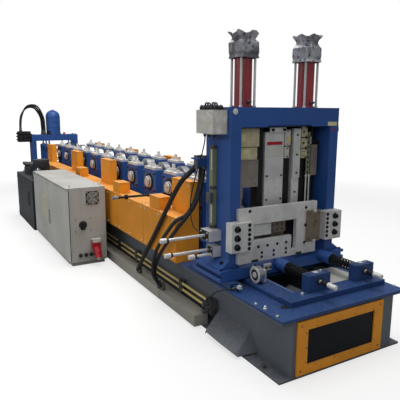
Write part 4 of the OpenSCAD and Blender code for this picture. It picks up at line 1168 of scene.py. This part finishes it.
def hose_chain():
    """Corrugated sleeve and its clips down the far side of the portal."""
    sleeve, clips, amber = pieces("carriage", side_sleeve="hose", sleeve_clips="dull", limit_lamp="amber")
    points = curve_through([
        (-0.72, 0.5165, 1.47), (-0.722, 0.5165, 1.3), (-0.73, 0.5165, 1.1), (-0.745, 0.5165, 0.9),
        (-0.76, 0.5175, 0.72), (-0.775, 0.535, 0.632)], 26)
    for k, (a, b) in enumerate(zip(points, points[1:])):
        sleeve.rod(a, b, 0.0155 if k % 2 else 0.0125, 14)
    for z in (1.4, 1.18, 0.96):
        clips.box((-0.748, 0.4995, z - 0.012), (-0.7, 0.505, z + 0.012), 0.001)
        clips.box((-0.7435, 0.5, z - 0.009), (-0.7385, 0.534, z + 0.009), 0.001)
    clips.box((-0.745, 0.499, 1.465), (-0.695, 0.548, 1.53), 0.003)
    amber.round_head((-0.69, 0.525, 1.53), Z, 0.014, 0.018, 0.009, 0.024, 20)
    amber.box((-0.7, 0.51, 1.5), (-0.68, 0.54, 1.531), 0.002)


# Floor level: tray, pipe fittings, beam bolts

def floor_parts():
    ribs, nuts, edge, beam_bolts = pieces(
        "machine", tray_ribs="tray", pipe_fittings="dull", tray_edges="tray", beam_bolts="dull")
    pipe_y = -0.492
    x = -0.965
    while x > -6.58:
        ribs.box((x - 0.01, -0.624, 0.1035), (x + 0.01, -0.506, 0.106), 0.0008)
        x -= 0.055
    edge.box((-6.598, -0.6262, 0.098), (-0.937, -0.6235, 0.1065), 0.0008)
    edge.box((-6.598, -0.5065, 0.098), (-0.937, -0.504, 0.1065), 0.0008)
    for k in range(6):
        seam = -1.6 - 0.95 * k
        edge.box((seam - 0.03, -0.6268, 0.015), (seam + 0.03, -0.6252, 0.104), 0.0005)
    for hold in (-1.4, -2.4, -3.4, -4.4, -5.4):
        nuts.socket_screw((hold, -0.51, 0.1695), -Y, 0.014)
    for z in (0.197, 0.142):
        nuts.rod((-0.94, pipe_y, z), (-0.962, pipe_y, z), 0.019, 6)
        nuts.turned((-0.962, pipe_y, z), -X, [(0.017, 0), (0.0155, 0.008), (0.0115, 0.012)], 24)
        for y in (-0.528, -0.545, -0.562):
            nuts.turned((-0.9, y, z), -Y,
                [(0.015, 0), (0.0172, 0.003), (0.0172, 0.009), (0.015, 0.012)], 24)
        for union in (-2.9, -4.9):
            nuts.rod((union - 0.03, pipe_y, z), (union + 0.03, pipe_y, z), 0.0175, 6)
            nuts.rod((union - 0.045, pipe_y, z), (union + 0.045, pipe_y, z), 0.0145, 20)
    for x, side in product((-0.2, -1.3, -2.5, -4.8, -6.9, -8.3), SIDES):
        beam_bolts.hex_bolt((x, side * 0.52, 0.013), Z, 0.03)
        beam_bolts.hex_bolt((x, side * 0.53, 0.387), -Z, 0.024)


# Entry end

LEVELLER_X = (-7.89, -7.62, -7.35)
PUNCH_X = -8.08


def entry_parts():
    bolts, dark, ribs, red, rolls = pieces(
        "machine", entry_bolts="dull", entry_fittings="black_steel", punch_cylinder_bands="blue",
        entry_valve="red", straightener_rolls="chrome")
    top = 1.18
    for dx, dy in product((-0.115, 0.115), (-0.17, 0.17)):
        bolts.hex_bolt((PUNCH_X + dx, dy, top), Z, 0.024)
    for z in (1.184, 1.33, 1.455, 1.53):
        ribs.turned((PUNCH_X, 0, z), Z,
            [(0.1402, 0), (0.145, 0.003), (0.145, 0.013), (0.1402, 0.016)], 48, True)
    ribs.round_head((PUNCH_X, 0, 1.6755), Z, 0.028, 0.006, 0.018, 0.008, 24)
    dark.box((-7.985, -0.16, 1.182), (-7.945, -0.105, 1.26), 0.004)
    red.turned((-7.965, 0.19, 1.18), Z, [(0.026, 0), (0.026, 0.02), (0.018, 0.026), (0.018, 0.05)], 24)
    # fittings on the manifold
    for k in range(3):
        for z in (1.085, 1.15, 1.21):
            bolts.rod((-8.029, -0.65 + 0.07 * k, z), (-8.012, -0.65 + 0.07 * k, z), 0.016, 6)
            dark.rod((-8.012, -0.65 + 0.07 * k, z), (-7.995, -0.65 + 0.07 * k, z), 0.012, 16)
        dark.turned((-8.115, -0.701, 1.09 + 0.06 * k), -Y,
            [(0.02, 0), (0.02, 0.012), (0.014, 0.016), (0.014, 0.03)], 20)
    for first, y in product(LEVELLER_X, (-0.255, 0.255)):
        for dx in (-0.06, 0.06):
            bolts.hex_bolt((first + dx, y, 1.0), Z, 0.024)
        bolts.rod((first, y, 1.0), (first, y, 1.024), 0.028, 6)
        for z in SHAFT_Z:
            side = -1 if y < 0 else 1
            dark.turned((first, y + side * 0.045, z), Y * side, [
                (0.055, 0), (0.055, 0.006), (0.03, 0.008), (0.029, 0.004)], 28)
    for side, x in product(SIDES, (-8.19, -7.97)):
        bolts.hex_bolt((x, side * 0.42, 1.18), Z, 0.026)
        for z in (0.47, 1.02):
            bolts.socket_screw((-7.93, side * 0.42, z), X, 0.02)
    # paired rollers that lead the strip through the straightener
    for first, z in product(LEVELLER_X, SHAFT_Z):
        rolls.turned((first, -0.2095, z), Y, [(0.03, 0), (0.062, 0.002), (0.062, 0.417), (0.03, 0.419)], 32)


def tank_parts():
    dark, steel, black = pieces(
        "machine", tank_parts="dark", tank_fittings="dull", tank_black_parts="black")
    x1, y0, y1 = -4.72, -1.09, -0.66
    x0 = x1 - 1.23
    mid = -0.875
    dark.box((x0 - 0.001, y0 + 0.001, 0.69), (x1 + 0.001, y1 - 0.001, 0.7015), 0.001)
    # motor: fins, fan cover and terminal box
    for k in range(28):
        a = 2 * math.pi * k / 28
        spot = Vector((x1 - 0.38 + 0.112 * math.cos(a), mid + 0.112 * math.sin(a), 0.83))
        dark.box(spot - Vector((0.004, 0.004, 0.085)), spot + Vector((0.004, 0.004, 0.075)), 0.001)
    dark.turned((x1 - 0.38, mid, 0.915), Z,
        [(0.111, 0), (0.114, 0.004), (0.112, 0.038), (0.096, 0.044)], 40)
    dark.turned((x1 - 0.38, mid, 0.7005), Z,
        [(0.111, 0), (0.14, 0), (0.14, 0.014), (0.111, 0.016)], 40, True)
    black.box((x1 - 0.3, mid - 0.045, 0.8), (x1 - 0.235, mid + 0.045, 0.88), 0.004)
    # valves on their block
    for k in range(4):
        x = x1 - 0.985 + 0.095 * k
        steel.box((x - 0.035, mid - 0.1, 0.8395), (x + 0.035, mid + 0.1, 0.872), 0.003)
        black.rod((x, mid - 0.155, 0.856), (x, mid - 0.098, 0.856), 0.023, 20)
        black.rod((x, mid + 0.098, 0.856), (x, mid + 0.155, 0.856), 0.023, 20)
        steel.rod((x, mid - 0.124, 0.775), (x, mid - 0.14, 0.775), 0.017, 6)
    steel.turned((x1 - 0.14, mid - 0.095, 0.8), Z,
        [(0.045, 0), (0.045, 0.012), (0.036, 0.016), (0.036, 0.042), (0.03, 0.046)], 32)
    # level gauge and bolts on the front
    steel.box((x1 - 0.32, y0 - 0.0125, 0.3), (x1 - 0.285, y0, 0.52), 0.003)
    black.box((x1 - 0.311, y0 - 0.0145, 0.325), (x1 - 0.294, y0 - 0.011, 0.495), 0.001)
    for x, z in product((x1 - 0.06, x0 + 0.06, (x0 + x1) / 2), (0.06, 0.64)):
        steel.hex_bolt((x, y0, z), -Y, 0.018)


# Spindle and panel

def last_parts():
    knob, bolts = pieces("machine", spindle_end="steel", panel_bolts="black")
    knob.turned((-2.044, -0.8705, 0.87), -Y,
        [(0.013, 0), (0.01, 0.001), (0.004, 0.001), (0.0035, 0.0003)], 16)
    for k in range(9):
        knob.turned((-2.044, -0.862 + 0.006 * k, 0.87), Y,
            [(0.0148, 0), (0.016, 0.0015), (0.0148, 0.003)], 20)
    low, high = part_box("panel_frame")
    for y, z in product((low[1] + 0.03, high[1] - 0.03), (low[2] + 0.03, high[2] - 0.03)):
        bolts.socket_screw((high[0] - 0.01, y, z), X, 0.017)
    inner_low, inner_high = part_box("end_panel")
    for y in (inner_low[1] - 0.012, inner_high[1] + 0.012):
        for z in (inner_low[2] + 0.02, (inner_low[2] + inner_high[2]) / 2, inner_high[2] - 0.02):
            bolts.round_head((high[0] - 0.0034, y, z), X, 0.006, 0.002, 0.0035, 0.004, 12)
    for y, z in product((-0.27, -0.1, 0.07, 0.24), (inner_low[2] - 0.012, inner_high[2] + 0.012)):
        bolts.round_head((high[0] - 0.0034, y, z), X, 0.006, 0.002, 0.0035, 0.004, 12)


for build in (
        guard_panels, cabinet_parts, deck_parts, buffer_parts, wheel_parts, clamp_parts, die_parts,
        side_clamp_parts, ram_parts, portal_parts, cylinder_parts, box_parts, hose_chain, floor_parts,
        entry_parts, tank_parts, last_parts):
    build()
for piece, name, key, body in waiting:
    piece.make(name, key, body)


# Light and floor

def place_world():
    """Soft grey light all round, seen as white by the camera and through glass."""
    world = bpy.data.worlds.new("studio")
    bpy.context.scene.world = world
    f = Tree(world)
    seen = f.node("LightPath", {}, {}, "Is Camera Ray")
    through = f.node("LightPath", {}, {}, "Is Transmission Ray")
    soft = f.node("Background", {}, {"Color": (0.9, 0.95, 1.0, 1.0), "Strength": 0.26})
    white = f.node("Background", {}, {"Color": (1, 1, 1, 1), "Strength": 1.0})
    mixed = f.node("MixShader", {}, {0: seen.sum("MAXIMUM", through), 1: soft, 2: white})
    f.node("OutputWorld", {}, {"Surface": mixed})


def place_lamp(name, place, target, width, height, watts, tint=(1, 1, 1)):
    data = bpy.data.lights.new(name, "AREA")
    data.shape = "RECTANGLE"
    data.size, data.size_y = width, height
    data.energy = watts
    data.color = tint
    lamp = bpy.data.objects.new(name, data)
    aim = (Vector(place) - Vector(target)).to_track_quat("Z", "Y")
    lamp.matrix_world = Matrix.Translation(place) @ aim.to_matrix().to_4x4()
    bpy.context.collection.objects.link(lamp)


def place_floor():
    """White floor that keeps the machine's shadow and fades into the backdrop."""
    f = Finish("pale_floor")
    seen = f.node("LightPath", {}, {}, "Is Camera Ray")
    far = f.node("VectorMath", {"operation": "DISTANCE"}, {0: f.place, 1: (-3.5, 0, 0)}, "Value")
    glow = (far.over(4.5, 10.0) * 0.33 + 0.67) * seen
    f.surface(colour(150, 150, 148), 0.95, Emission_Color=glow, Emission_Strength=1.0)
    data = bpy.data.meshes.new("floor")
    reach = 60.0
    data.from_pydata([(-reach, -reach, 0), (reach, -reach, 0), (reach, reach, 0), (-reach, reach, 0)],
                     [], [(0, 1, 2, 3)])
    data.materials.append(f.material)
    floor = bpy.data.objects.new("floor", data)
    floor.location.z = -0.001
    bpy.context.collection.objects.link(floor)


place_world()
place_floor()
place_lamp("overhead", (-3.5, 0.0, 6.5), (-3.5, 0, 0), 9.0, 4.0, 500)
place_lamp("front_left", (4.5, -4.0, 4.5), (-1.0, 0, 0.8), 3.5, 2.5, 75)
place_lamp("side", (-3.0, -8.0, 4.0), (-3.0, 0, 0.6), 8.0, 2.0, 105)

bpy.context.scene.view_settings.view_transform = "Standard"
